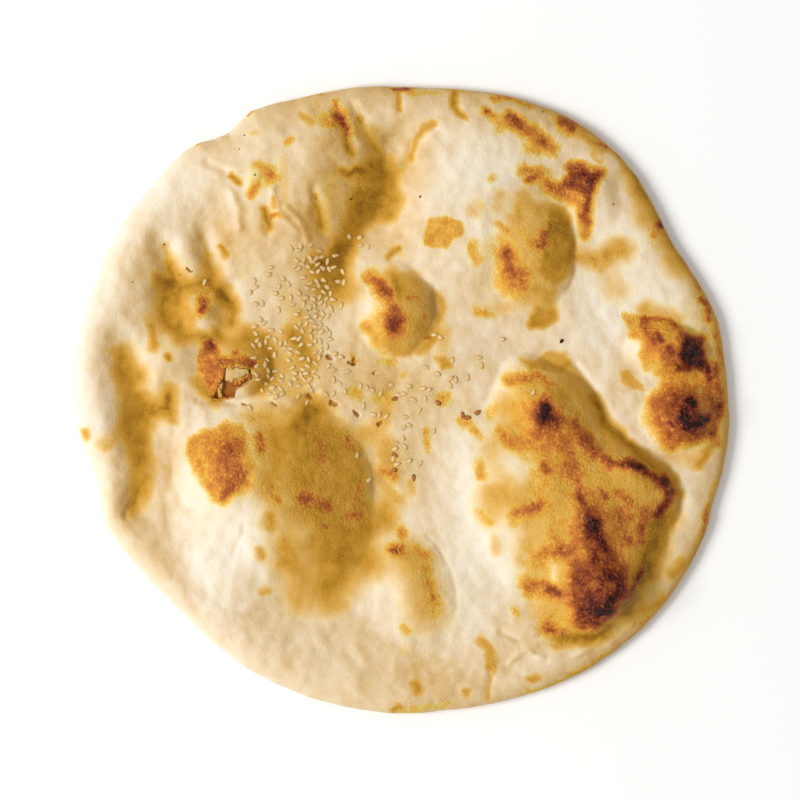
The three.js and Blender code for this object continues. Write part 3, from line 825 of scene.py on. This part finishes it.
def ball_to_bread(co):
    """x, y, inset, and whether it is upper skin, for each point of the ball."""
    out = co / np.linalg.norm(co, axis=1)[:, None]
    upper = out[:, 2] >= 0
    share = np.sqrt(np.clip(1 - np.abs(out[:, 2]), 0, 1))
    angle = np.arctan2(out[:, 1], out[:, 0])
    edge = outline_radius(angle)
    shoulder = np.where(upper, SHOULDER_INSET, FOOT_INSET)
    curl = np.where(upper, CURL, UNDER_CURL)
    skin = (1 - share) * (edge + curl)  # distance along the skin from the edge
    turn = np.clip(skin / (shoulder + curl), 0, 1) * math.pi / 2
    inset = np.where(skin < shoulder + curl, shoulder * (1 - np.cos(turn)), skin - curl)
    radius = edge - inset
    return radius * np.cos(angle), radius * np.sin(angle), inset, upper


def vertex_array(bm):
    return np.array([v.co[:] for v in bm.verts])


ball = bmesh.new()
bmesh.ops.create_icosphere(ball, subdivisions=BALL_STEPS, radius=1)
for _ in range(UPPER_STEPS):
    upper_edges = [e for e in ball.edges if min(v.co.z for v in e.verts) >= -0.01]
    bmesh.ops.subdivide_edges(ball, edges=upper_edges, cuts=1, use_grid_fill=True)
    for v in ball.verts:
        v.co.normalize()

x, y, inset, upper = ball_to_bread(vertex_array(ball))
near = distance_to_path(x, y, HOLE, filled=True) < FINE_REACH
for half_width, path in PRICKS:
    near |= distance_to_path(x, y, path) < half_width + FINE_REACH
near &= upper
fine_edges = [e for e in ball.edges if all(near[v.index] for v in e.verts)]
bmesh.ops.subdivide_edges(ball, edges=fine_edges, cuts=1, use_grid_fill=True)
bmesh.ops.triangulate(ball, faces=[f for f in ball.faces if len(f.verts) > 3])
print("triangles:", len(ball.faces))

# %% [markdown]
# ## Press it and bake it
# Now each point of the ball is sent to its place in the bread. The underside is flat, because it baked
# against the wall, with shallow dents where the wall was uneven. Heat spreads, so each kind of mark is
# also a little softer than it was drawn.

# %% Bake it flat
UNDER_DENT = 0.5
BAKED_SOFT = 1.8
MUSTARD_AND_SHADE_SOFT = 1.9
FLOUR_SOFT = 1.4
RELIEF_FADE = 6  # millimetres from the edge over which the fine relief sets in

x, y, inset, upper = ball_to_bread(vertex_array(ball))
brush_x, brush_y = wander(x, y, STROKE_SWINGS)
flour = paint([], FLOUR, FLOUR_SOFT, brush_x, brush_y)
baked = paint(BAKED_AREAS, BAKED_STROKES, BAKED_SOFT, brush_x, brush_y) * (1 - flour)
baked = np.clip(baked * (1 + 0.18 * lumps(x, y, 5, 24) + 0.12 * lumps(x, y, 2.2, 25)), 0, 1)
top = big_forms(x, y, inset) + fine_relief(x, y, baked) * soft_step(inset / RELIEF_FADE)
foot = np.clip(inset / FOOT_INSET, 0, 1)
dents = UNDER_DENT * soft_step(lumps(x, y, 15, 14) * 2 - 0.2) * soft_step((inset - FOOT_INSET) / 10)
under = EDGE_LIFT * (1 - np.sqrt(1 - (1 - foot) ** 2)) + dents
z = np.where(upper, top, under)
for vert, *place in zip(ball.verts, x, y, z):
    vert.co = Vector(place) * MM
smooth_skin(ball)
bread_mesh = bpy.data.meshes.new("naan")
ball.to_mesh(bread_mesh)
bread_tree = BVHTree.FromBMesh(ball)
ball.free()
bread = place_object("naan", bread_mesh)
print("bread stands", round(z.max(), 1), "mm high")

# %% [markdown]
# ## Base tone and painted shade
# Pale crust isn't one colour, and here its base tone also holds painted shade. The base tone comes from
# which way the finished skin faces: skin that faces the lamp on the left is painted pale, and skin turned
# away from it is painted tan as shade. Broad soft patches then lighten or darken the tone in places.

# %% Base tone
# The side the lamp shines from, which sets the painted shade below.
LAMP_SIDE = 186  # degrees from +X
FLAT_TONE = 0.44
SHADE_ON_FLANKS = 0.8
RIM_BARE = 0.22
RIM_REACH = 6.0
# name: change of tone, centre, half sizes, turn
# Several patches are painted shade: the fold's shade, lower left valley, beside the top valley, between the
# swells and below the swells. Two are painted light, paler on slopes that face the lamp: slope of the big
# dome and lower left dome.
TONES = {
    "left rim": (-0.05, (-120, 10), (10, 60), 0),
    "lower left dome's left": (0.18, (-84, -48), (12, 20), 0),
    "lower left rim": (0.2, (-108, -66), (12, 44), 38),
    "upper left": (-0.16, (-95, 75), (30, 25), -45),
    "fold's shade": (0.34, (-71, 67), (7, 12), 0),
    "upper left swell": (0.1, (-52, 100), (30, 18), 25),
    "below the swell": (0.36, (-52, 66), (26, 16), 20),
    "bed of seeds": (0.18, (-38, 34), (17, 24), 0),
    "top": (0.16, (-8, 110), (45, 14), 0),
    "beside the top valley": (0.20, (-24, 84), (12, 20), 0),
    "upper right swell": (-0.3, (32, 92), (20, 18), 0),
    "left flank of the right swell": (0.42, (7, 94), (7, 14), 0),
    "below the swells": (0.32, (-7, 64), (14, 9), 0),
    "top right blister": (0.3, (48, 44), (16, 10), 0),
    "right side": (-0.2, (98, 58), (26, 40), 0),
    "lower right rim": (-0.05, (103, -78), (18, 55), -38),
    "bottom": (0.3, (15, -110), (26, 10), 0),
    "right part of the bottom": (-0.1, (48, -106), (20, 12), 20),
    "under the big dome": (0.2, (58, -94), (22, 10), 15),
    "slope of the big dome": (-0.3, (27, -70), (12, 30), 0),
    "upper slope of the big dome": (0.24, (44, -24), (10, 28), 0),
    "middle": (0.36, (-8, 8), (26, 12), 0),
    "lower middle": (0.34, (-6, -28), (12, 20), 0),
    "lower left dome": (-0.28, (-66, -66), (24, 20), 10),
    "lower flank of the dome": (0.15, (-40, -72), (16, 12), 10),
    "lower left valley": (0.1, (-96, -62), (9, 26), 25),
    "between the swells": (0.38, (1, 80), (9, 20), 0),
    "inside the left rim": (-0.2, (-116, -4), (5, 14), 0),
    "right rim": (-0.2, (126, -30), (5, 18), 0),
    "right of the middle": (-0.25, (80, 32), (13, 14), 0),
    "left of the right edge blisters": (0.35, (94, 16), (6, 12), 0),
    "below the star": (0.1, (74, 62), (10, 10), 0),
    "right edge": (0.1, (120, 4), (6, 34), 0),
    "round the button": (0.6, (-84, 38), (8, 9), 0),
    "left of the centre blister": (0.25, (-16, 36), (6, 14), 0),
    "left of the browned top": (0.4, (-90, -24), (8, 12), 0),
    "left saddle": (0.3, (-97, 6), (6, 10), 0),
}

normals = np.empty(3 * len(bread_mesh.vertices))
bread_mesh.vertices.foreach_get("normal", normals)
normals = normals.reshape(-1, 3)
# Painted shade: skin turned away from the lamp is painted tan, skin facing it is painted pale.
lamp_side = math.radians(LAMP_SIDE)
turned_from_lamp = -(normals[:, 0] * math.cos(lamp_side) + normals[:, 1] * math.sin(lamp_side))
bare = FLAT_TONE + SHADE_ON_FLANKS * turned_from_lamp + 0.12 * lumps(x, y, 22, 31)
bare += 0.10 * lumps(x, y, 7, 32) + 0.06 * lumps(x, y, 3, 33)
bare += RIM_BARE * np.exp(-((inset / RIM_REACH) ** 2))
for change, centre, half, turn in TONES.values():
    u, v = turned(x - centre[0], y - centre[1], -turn)
    bare += change * np.exp(-((u / half[0]) ** 2) - (v / half[1]) ** 2)
print("tone patches:", len(TONES))

# %% [markdown]
# ## Numbers on the mesh
# The underside is painted by noise alone: it browned in freckles where it touched the hottest wall. All
# the numbers are then kept on the mesh's own points, under names that the material can read.

# %% Paint the bread
UNDER_GOLD = 0.42
UNDER_CHAR = 0.8

mustard = paint(MUSTARD_AND_SHADE_AREAS, MUSTARD_AND_SHADE_STROKES, MUSTARD_AND_SHADE_SOFT, brush_x, brush_y) * (1 - flour)
mustard = np.clip(mustard * (1 + 0.13 * lumps(x, y, 8, 26) + 0.08 * lumps(x, y, 3, 27)), 0, 1)
bare = np.clip(bare * (1 - 0.6 * flour), 0, 1)
freckles = UNDER_GOLD * soft_step(0.5 + 1.6 * lumps(x, y, 13, 41) + 0.8 * lumps(x, y, 5, 42))
freckles = np.maximum(freckles, UNDER_CHAR * soft_step(4 * lumps(x, y, 8, 43) - 1.6))
baked = np.where(upper, baked, freckles * foot)
hollow = soft_step(1 - distance_to_path(x, y, HOLE, filled=True) / HOLE_EDGE)
ragged_x, ragged_y = wander(x, y, [(0.5, 1.2, 8)])
for half_width, path in PRICKS:
    marked = soft_step(1.6 - distance_to_path(ragged_x, ragged_y, path) / half_width)
    hollow = np.maximum(hollow, 0.8 * marked)
hollow *= upper


def keep_on_points(mesh, name, values):
    """Stores one number for each point of the mesh, under a name that a material can read."""
    mesh.attributes.new(name, "FLOAT", "POINT").data.foreach_set("value", values.astype(np.float32))


keep_on_points(bread_mesh, "bare", bare)
keep_on_points(bread_mesh, "mustard", mustard)
keep_on_points(bread_mesh, "baked", baked)
keep_on_points(bread_mesh, "hollow", hollow)
print("browned share of the top:", round(float((baked[upper] > 0.3).mean()), 2))

# %% [markdown]
# ## The crust as a material
# Baked crust is dried starch: matt and pale where flour lies on it, and slightly glossy where sugars and
# fat have browned. The marks on the mesh are about a millimetre fine, so the material adds what is finer:
# a mottle and a grain that break up each mark, and painted highlights, small pale dots in browned skin
# that stand for glints on its tiny bubbles. Light goes a few millimetres into dough before it comes out
# again, so there is some subsurface scattering.

# %% Colours and nodes
def linear(hex_colour):
    """A colour written as sRGB hex, such as c98730, as linear red, green, blue and alpha."""
    channels = [int(hex_colour[i:i + 2], 16) / 255 for i in (0, 2, 4)]
    return [c / 12.92 if c <= 0.04045 else ((c + 0.055) / 1.055) ** 2.4 for c in channels] + [1]


def add_node(tree, kind, settings, inputs, output=0):
    """Adds a node with its settings, gives its inputs values or links, and returns one output."""
    node = tree.nodes.new("ShaderNode" + kind)
    for name, value in settings.items():
        if name == "stops":
            while len(node.color_ramp.elements) < len(value):
                node.color_ramp.elements.new(0.5)
            for element, (place, colour) in zip(node.color_ramp.elements, value):
                element.position, element.color = place, linear(colour)
        else:
            setattr(node, name, value)
    for name, value in inputs.items():
        if isinstance(value, bpy.types.NodeSocket):
            tree.links.new(value, node.inputs[name])
        else:
            node.inputs[name].default_value = value
    return node.outputs[output] if node.outputs else node


def per_metre(size_mm):
    """A noise texture's scale, for a pattern whose lumps are this many millimetres across."""
    return 1000 / size_mm


def empty_material(name):
    """A new material without nodes, and the tree that its nodes go into."""
    material = bpy.data.materials.new(name)
    material.use_nodes = True
    material.node_tree.nodes.clear()
    return material, material.node_tree


# %% [markdown]
# ## Three glazes
# Tone, yellowness and browning each have a ramp of colours of their own. The darker ends of the tone
# and yellowness ramps also serve as painted shade. The torn flaps are the same crust, only too thin for
# light to travel in, so one function makes both materials.

# %% Crust
# Ramp for the base tone. Its tan end is also the painted shade on skin turned away from the lamp.
TONE_AND_SHADE_STOPS = [
    (0.0, "f1e7d6"), (0.25, "ecdcc1"), (0.5, "e5cba2"), (0.75, "d9b67c"), (1.0, "c8994c"),
]
# The darkest end of this ramp is painted shade on flanks turned away from the lamp.
MUSTARD_AND_SHADE_STOPS = [
    (0.0, "ffffff"), (0.15, "f7ead0"), (0.35, "e9cd99"), (0.55, "dcaf5b"), (0.75, "cd9833"),
    (0.88, "b9861e"), (1.0, "93640c"),
]
BAKED_STOPS = [
    (0.0, "ffffff"), (0.1, "faeed2"), (0.2, "f2d79c"), (0.3, "e6b857"), (0.4, "dea238"),
    (0.5, "ce812e"), (0.62, "ad5e22"), (0.75, "883e10"), (0.87, "661d07"), (0.95, "420a04"),
    (1.0, "200302"),
]
INSIDE = "a8641c"


def crust_material(name, subsurface):
    """Wheat crust, baked on a clay wall: floury and matt where pale, faintly glossy where browned."""
    material, tree = empty_material(name)
    place = add_node(tree, "TexCoord", {}, {}, "Object")
    toned, mustard_and_shade_level, browned, opened = (
        add_node(tree, "Attribute", {"attribute_name": name}, {}, "Fac")
        for name in ("bare", "mustard", "baked", "hollow")
    )
    mottle = add_node(tree, "TexNoise", {}, {
        "Vector": place, "Scale": per_metre(3), "Detail": 3.0, "Roughness": 0.55})
    grain = add_node(tree, "TexNoise", {}, {
        "Vector": place, "Scale": per_metre(1.1), "Detail": 2.0, "Roughness": 0.6})
    # Painted highlights: where this noise peaks, the browning is made paler, as glints on tiny bubbles.
    glint_noise = add_node(tree, "TexNoise", {}, {
        "Vector": place, "Scale": per_metre(1.4), "Detail": 0.0})
    painted_glints = add_node(tree, "MapRange", {}, {
        "Value": glint_noise, "From Min": 0.63, "From Max": 0.73, "To Min": 1.0, "To Max": 0.84})
    browned = add_node(tree, "Math", {"operation": "MULTIPLY"}, {0: browned, 1: painted_glints})

    # Each level is moved in proportion to itself by mottle and grain, browning most of all. The layers
    # then lie on each other like glazes: a layer can only darken what is under it.
    colour = linear("ffffff")
    layers = ((toned, TONE_AND_SHADE_STOPS, 0.5), (mustard_and_shade_level, MUSTARD_AND_SHADE_STOPS, 0.4), (browned, BAKED_STOPS, 0.9))
    for marked, stops, rough in layers:
        uneven = add_node(tree, "Math", {"operation": "MULTIPLY_ADD"}, {
            0: mottle, 1: 0.5 * rough, 2: 1 - 0.5 * rough})
        uneven = add_node(tree, "Math", {"operation": "MULTIPLY_ADD"}, {
            0: grain, 1: 0.5 * rough, 2: uneven})
        level = add_node(tree, "Math", {"operation": "MULTIPLY", "use_clamp": True}, {
            0: marked, 1: uneven})
        glaze = add_node(tree, "ValToRGB", {"stops": stops}, {"Fac": level})
        colour = add_node(tree, "Mix", {"data_type": "RGBA", "blend_type": "DARKEN"}, {
            0: 1.0, 6: colour, 7: glaze}, 2)
    colour = add_node(tree, "Mix", {"data_type": "RGBA"}, {
        0: opened, 6: colour, 7: linear(INSIDE)}, 2)

    rough = add_node(tree, "MapRange", {}, {
        "Value": level, "From Min": 0.2, "From Max": 1.0, "To Min": 0.68, "To Max": 0.28})
    relief = add_node(tree, "Math", {"operation": "ADD"}, {0: mottle, 1: grain})
    bubbly = add_node(tree, "MapRange", {}, {
        "Value": level, "From Min": 0.1, "From Max": 0.6, "To Min": 0.25, "To Max": 1.0})
    bump = add_node(tree, "Bump", {}, {"Strength": bubbly, "Distance": 0.001, "Height": relief})
    shader = add_node(tree, "BsdfPrincipled", {}, {
        "Base Color": colour, "Roughness": rough, "Normal": bump, "IOR": 1.45,
        "Specular IOR Level": 0.25, "Subsurface Weight": subsurface, "Subsurface Scale": 1.0,
        "Subsurface Radius": (0.005, 0.003, 0.0012)})
    add_node(tree, "OutputMaterial", {}, {"Surface": shader})
    return material


crust = crust_material("baked wheat crust", 0.25)
bread_mesh.materials.append(crust)
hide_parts("naan_bread")
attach(bread, "root")
print("crust nodes:", len(crust.node_tree.nodes))

# %% [markdown]
# ## The torn skin of the burst blister
# Where the blister burst, thin skin hangs in flaps over the hole: a golden one that sank in, a pale strip
# that still bridges the gap, and the torn lips. Cutting them from the bread's own mesh would need it to be
# very fine there, so each flap is a small grid stretched between two drawn edges, the one where it hangs
# on and the free one, then given a thickness.

# %% Flaps
FLAP_THICK = 0.45
FLAP_STEPS = (26, 5)
FLAP_BARE = 0.8
FLAP_RAGGED = 0.7
FLAP_WAVE = 0.3
# name: hinge edge, free edge, then at the hinge and at the free edge: height over the skin, browning
# and yellowness
FLAPS = {
    "sunken flap": ([(-69.2, 12.8), (-66.5, 13.4), (-64, 12.6), (-60.2, 12.2)],
                    [(-69.6, 8.2), (-67.2, 7.2), (-65, 8.6), (-60.4, 10.6)],
                    (-0.2, -0.9), (0.3, 0.15), (0.2, 0.0)),
    "ledge": ([(-65.6, 8.6), (-62.5, 9.4), (-59.8, 11.4)],
              [(-66.2, 5.6), (-62.8, 6.8), (-59.6, 9)], (-1.3, -1.0), (0.4, 0.6), (0.6, 0.6)),
    "bridging strip": ([(-72.0, 7.4), (-72.8, 4.2), (-72.4, 0.8)],
                       [(-70.9, 7.4), (-71.5, 4.2), (-71, 0.8)], (-0.1, -0.3), (0.4, 0.25), (0.6, 0.3)),
    "upper lip": ([(-72.5, 14.6), (-69.5, 14.4), (-67, 15), (-65, 14.8), (-63.5, 15), (-60, 13.8)],
                  [(-71.2, 12.8), (-70, 12.2), (-68.6, 13.2), (-66.6, 12), (-65, 13.6), (-60.5, 12.4)],
                  (-0.3, 0.4), (0.58, 0.42), (0.6, 0.5)),
    "lower lip": ([(-58.6, 10), (-61.3, 6.2), (-65.2, 4.2), (-66, 1), (-70, 0.2), (-76, 0.2)],
                  [(-59.8, 9.4), (-62, 7), (-66, 5), (-66.8, 1.8), (-70, 0.9), (-75, 1)],
                  (-0.3, 0.1), (0.1, 0.7), (0.3, 0.5)),
    "left lip": ([(-70.6, 12.4), (-71.6, 9), (-73.6, 5.4), (-76.4, 1)],
                 [(-69.4, 12), (-70.2, 8.4), (-72.4, 5.2), (-74.6, 1.4)],
                 (-0.3, 0.25), (0.5, 0.72), (0.5, 0.5)),
}


def point_on(path, share):
    """The point that lies this share, 0 to 1, of the way through a path's points."""
    at = share * (len(path) - 1)
    return tuple(float(np.interp(at, range(len(path)), axis)) for axis in zip(*path))


def skin_height(x, y):
    """Height of the unbroken skin at one place, in millimetres."""
    inset = outline_radius(np.array([math.atan2(y, x)])) - math.hypot(x, y)
    return float(big_forms(np.array([x]), np.array([y]), inset)[0])


flaps_bm = bmesh.new()
flap_marks = {name: flaps_bm.verts.layers.float.new(name) for name in ("bare", "baked", "mustard")}
for hinge, free, lifts, browning, yellowness in FLAPS.values():
    sheet = bmesh.ops.create_grid(flaps_bm, x_segments=FLAP_STEPS[0], y_segments=FLAP_STEPS[1], size=1)
    for v in sheet["verts"]:
        along, across = (v.co.x + 1) / 2, (v.co.y + 1) / 2
        (hx, hy), (fx, fy) = point_on(hinge, along), point_on(free, along)
        px, py = hx + across * (fx - hx), hy + across * (fy - hy)
        ragged = FLAP_RAGGED * across * noise.noise((1.6 * px, 1.6 * py, 5.0))
        lift = lifts[0] + (lifts[1] - lifts[0]) * across**2 + FLAP_WAVE * noise.noise((px, py, 2.0))
        v.co = Vector((px + ragged, py - ragged, skin_height(px, py) + lift)) * MM
        v[flap_marks["bare"]] = FLAP_BARE
        v[flap_marks["baked"]] = browning[0] + (browning[1] - browning[0]) * across
        v[flap_marks["mustard"]] = yellowness[0] + (yellowness[1] - yellowness[0]) * across
bmesh.ops.solidify(flaps_bm, geom=flaps_bm.faces[:], thickness=FLAP_THICK * MM)
smooth_skin(flaps_bm)

# %% [markdown]
# ## From bmesh to a finished piece
# Every small piece ends the same way: its mesh becomes an object with a material and rides on the
# bread's body. The flaps come first.

# %% Finish a piece
def finish_piece(name, bm, material):
    """Turns a bmesh into an object that rides with the bread."""
    mesh = bpy.data.meshes.new(name)
    bm.to_mesh(mesh)
    bm.free()
    mesh.materials.append(material)
    piece = place_object(name, mesh)
    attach(piece, "root")
    print(name, "faces:", len(mesh.polygons))


finish_piece("torn_flaps", flaps_bm, crust_material("torn wheat crust", 0.0))

# %% [markdown]
# ## Sesame
# A hulled sesame seed is a flat teardrop about 3.2 mm long. There are a few hundred here, so each has only
# a few dozen faces. Most fell together on one side of the middle: patches with a count scatter those by
# chance, and the strays that stand alone are placed one by one. Each seed is laid on the skin by a ray
# sent down onto the bread, turned to lie flat on whatever slope it meets, and sunk in by half.

# %% Scatter the seeds
SEED_SIZE = (3.2, 2.2, 1.0)
SEED_TAPER = 0.4
SEED_RAISE = 0.05
SEED_TILT = 0.16
SEED_GAP = 1.9
# centre, half sizes, turn, count
PATCHES = [
    ((-33, 54), (13, 8), -25, 32), ((-35, 38), (9, 9), 0, 24), ((-36, 20), (10, 12), 0, 34),
    ((-53, 22), (7, 15), 0, 24), ((-52, 44), (9, 9), 0, 13), ((-46, 6), (12, 6), 0, 20),
    ((-24, 10), (12, 9), 0, 9), ((-2, 1), (14, 9), 0, 9), ((0, -20), (13, 12), 0, 7),
    ((22, 12), (13, 9), 0, 5), ((-17, 62), (6, 4), 0, 4),
]
STRAYS = [
    (-78, 47), (-37, 35), (-33.5, 35.5), (-31.5, 32.5), (-35, 31.5), (-35.5, 28), (-33.5, 27),
    (-27.5, 36.5), (-23.5, 37.5), (-32, 41), (-36, 22), (-39.5, 22), (-26.5, 12), (-9, 11), (-3.5, 6),
    (-0.5, 2), (1.5, 2.5), (-5.5, -6.5), (-14.5, -2.5), (3.5, -10), (13.5, -12.5), (20, 8.5), (20, 6),
    (16, 25), (13.5, 26), (11.5, 4), (9, 4.5), (31.5, 17), (32.5, 14), (40.5, 24), (-17, -22),
    (-2, -19.5), (3.5, -24.5), (-12.5, -32), (53, 3), (-37, -1), (-60, -3), (-11, 4),
]
TOASTED = [(15, -1), (27, -7), (25, -6), (-2.5, -28), (-2, -22), (5.5, -31), (-2, 0.5), (31, -5)]
chance = random.Random(11)


def lying_on_skin(x, y, raised):
    """The matrix that lays a thing flat on the skin, its middle raised by so many millimetres."""
    place, normal, _, _ = bread_tree.ray_cast(Vector((x * MM, y * MM, 1)), Vector((0, 0, -1)))
    facing = normal.to_track_quat("Z", "Y").to_matrix().to_4x4()
    return Matrix.Translation(place + normal * raised * MM) @ facing


def add_seed(bm, x, y):
    """Lays one seed on the bread."""
    size = [s * chance.uniform(0.85, 1.08) / 2 * MM for s in SEED_SIZE]
    lying = Matrix.Rotation(math.pi / 2, 4, "Y")  # puts the sphere's poles at the seed's two ends
    seed = bmesh.ops.create_uvsphere(bm, u_segments=8, v_segments=5, radius=1, matrix=lying)["verts"]
    edge = bm.verts.layers.float["edge"]
    for v in seed:
        # Painted shade: the edge number rises from the seed's top to its sides and underside, darkening
        # them.
        v[edge] = 1 - max(0, v.co.z)
        narrow = 1 - SEED_TAPER * (v.co.x + 1) / 2
        v.co = Vector((v.co.x * size[0], v.co.y * size[1] * narrow, v.co.z * size[2] * narrow))
    heading = Matrix.Rotation(chance.uniform(0, 2 * math.pi), 4, "Z")
    tilt = Matrix.Rotation(chance.gauss(0, SEED_TILT), 4, "Y")
    bmesh.ops.transform(bm, matrix=lying_on_skin(x, y, SEED_RAISE) @ heading @ tilt, verts=seed)


def scatter(patches, strays):
    """Places for the seeds: the strays, then the patches, none closer together than the gap."""
    places = list(strays)
    for centre, half, turn, count in patches:
        placed = 0
        while placed < count:
            reach, angle = math.sqrt(chance.random()), chance.uniform(0, 2 * math.pi)
            u, v = turned(half[0] * reach * math.cos(angle), half[1] * reach * math.sin(angle), turn)
            px, py = centre[0] + u, centre[1] + v
            clear = all(math.hypot(px - a, py - b) > SEED_GAP for a, b in places)
            point = (np.array([px]), np.array([py]))
            if clear and distance_to_path(*point, HOLE, filled=True)[0] > 2:
                places.append((px, py))
                placed += 1
    return places


seed_places = scatter(PATCHES, STRAYS)
print("seeds:", len(seed_places), "pale and", len(TOASTED), "toasted")

# %% [markdown]
# ## Pale and toasted seeds
# A hulled seed is ivory and a little waxy, with painted shade round its sides and underside. The few that
# stuck out into the heat were toasted brown. Both kinds, and the specks of charred flour after them, share
# one function.

# %% Sesame material
def sesame_material(name, colour, dark_colour, roughness):
    """Hulled seed, waxy and slightly translucent. Noise about a seed's size darkens one end more than the
    other, and the edge number adds painted shade round the seed's sides.
    """
    material, tree = empty_material(name)
    place = add_node(tree, "TexCoord", {}, {}, "Object")
    tone = add_node(tree, "TexNoise", {}, {
        "Vector": place, "Scale": per_metre(4.0), "Detail": 2.0})
    # the seed's painted shade round its sides and underside
    edge = add_node(tree, "Attribute", {"attribute_name": "edge"}, {}, "Fac")
    shade = add_node(tree, "Math", {"operation": "MULTIPLY_ADD"}, {0: tone, 1: 0.5, 2: edge})
    colours = add_node(tree, "ValToRGB", {"stops": [(0.5, colour), (1.0, dark_colour)]}, {
        "Fac": shade})
    shader = add_node(tree, "BsdfPrincipled", {}, {
        "Base Color": colours, "Roughness": roughness, "IOR": 1.47, "Specular IOR Level": 0.25,
        "Subsurface Weight": 0.15, "Subsurface Radius": (0.0004, 0.0003, 0.0002), "Subsurface Scale": 1.0})
    add_node(tree, "OutputMaterial", {}, {"Surface": shader})
    return material


hulled = sesame_material("hulled sesame", "e0c288", "c79e62", 0.6)
toasted = sesame_material("toasted sesame", "b3703a", "6f3412", 0.45)
for name, places, material in (("sesame_seeds", seed_places, hulled), ("toasted_seeds", TOASTED, toasted)):
    seeds_bm = bmesh.new()
    seeds_bm.verts.layers.float.new("edge")
    for px, py in places:
        add_seed(seeds_bm, px, py)
    smooth_skin(seeds_bm)
    finish_piece(name, seeds_bm, material)

# %% [markdown]
# ## Burnt specks
# A tandoor's wall sheds crumbs of char, and a few stick to the dough. They are tiny, but the eye finds
# them on pale skin.

# %% Specks
SPECK_HIGH = 0.3
SPECK_ROUGH = 0.35
# x, y, half length, half width
SPECKS = [
    (8, 81, 0.7, 0.35), (-19.5, 80, 0.45, 0.4), (64.5, 23.5, 1.0, 0.7), (-57.7, 89.5, 0.4, 0.35),
    (-94, 62, 0.35, 0.3), (-62, 105.5, 0.35, 0.3), (-64, 100, 0.3, 0.25), (-106.5, 47, 0.3, 0.25),
    (-88, 50, 0.25, 0.25), (57, 115, 0.3, 0.25), (85, 78, 0.3, 0.3), (79, -3.5, 0.3, 0.25),
]
specks_bm = bmesh.new()
for px, py, long, wide in SPECKS:
    speck = bmesh.ops.create_icosphere(specks_bm, subdivisions=2, radius=1)["verts"]
    for v in speck:
        rough = 1 + SPECK_ROUGH * noise.noise(v.co * 2 + Vector((px, py, 0)))
        v.co = Vector((v.co.x * long, v.co.y * wide, v.co.z * SPECK_HIGH)) * rough * MM
    heading = Matrix.Rotation(chance.uniform(-1.2, -0.6), 4, "Z")
    bmesh.ops.transform(specks_bm, matrix=lying_on_skin(px, py, 0) @ heading, verts=speck)
smooth_skin(specks_bm)
finish_piece("burnt_specks", specks_bm, sesame_material("charred flour", "3a1c0c", "1c0c06", 0.6))

# %% [markdown]
# ## Light, table and camera
# One broad light stands low on the left, so that each blister has a bright and a dark flank. A pale room
# fills the shadows. The camera looks straight down from far off, with a long lens, so that the high
# blisters hardly lean outwards.

# %% Studio
scene = bpy.context.scene
scene.view_settings.view_transform = "Standard"

CAMERA_HEIGHT = 2.4
VIEW_WIDTH = 0.320
SENSOR = 36.0
camera_data = bpy.data.cameras.new("camera")
camera_data.sensor_width = SENSOR
camera_data.lens = SENSOR * CAMERA_HEIGHT / VIEW_WIDTH
camera = place_object("camera", camera_data)
camera.location = (0, 0, CAMERA_HEIGHT)
scene.camera = camera


def add_area_light(name, place, size, watts, colour):
    """A soft square lamp that shines at the bread and isn't seen itself."""
    data = bpy.data.lights.new(name, "AREA")
    data.size, data.energy, data.color = size, watts, linear(colour)[:3]
    lamp = place_object(name, data)
    lamp.location = place
    lamp.rotation_euler = (-Vector(place)).to_track_quat("-Z", "Y").to_euler()
    lamp.visible_camera = False


add_area_light("window", (-2.4, -0.3, 2.2), 1.5, 88, "fffefb")
world = bpy.data.worlds.new("pale room")
world.use_nodes = True
world.node_tree.nodes["Background"].inputs["Color"].default_value = linear("fffefc")
world.node_tree.nodes["Background"].inputs["Strength"].default_value = 0.51
scene.world = world

table_bm = bmesh.new()
bmesh.ops.create_grid(table_bm, x_segments=1, y_segments=1, size=6)
table_mesh = bpy.data.meshes.new("table")
table_bm.to_mesh(table_mesh)
table_bm.free()
table = place_object("table", table_mesh)
white = bpy.data.materials.new("white laminate")
white.use_nodes = True
white.node_tree.nodes["Principled BSDF"].inputs["Base Color"].default_value = linear("ffffff")
white.node_tree.nodes["Principled BSDF"].inputs["Roughness"].default_value = 0.6
table_mesh.materials.append(white)
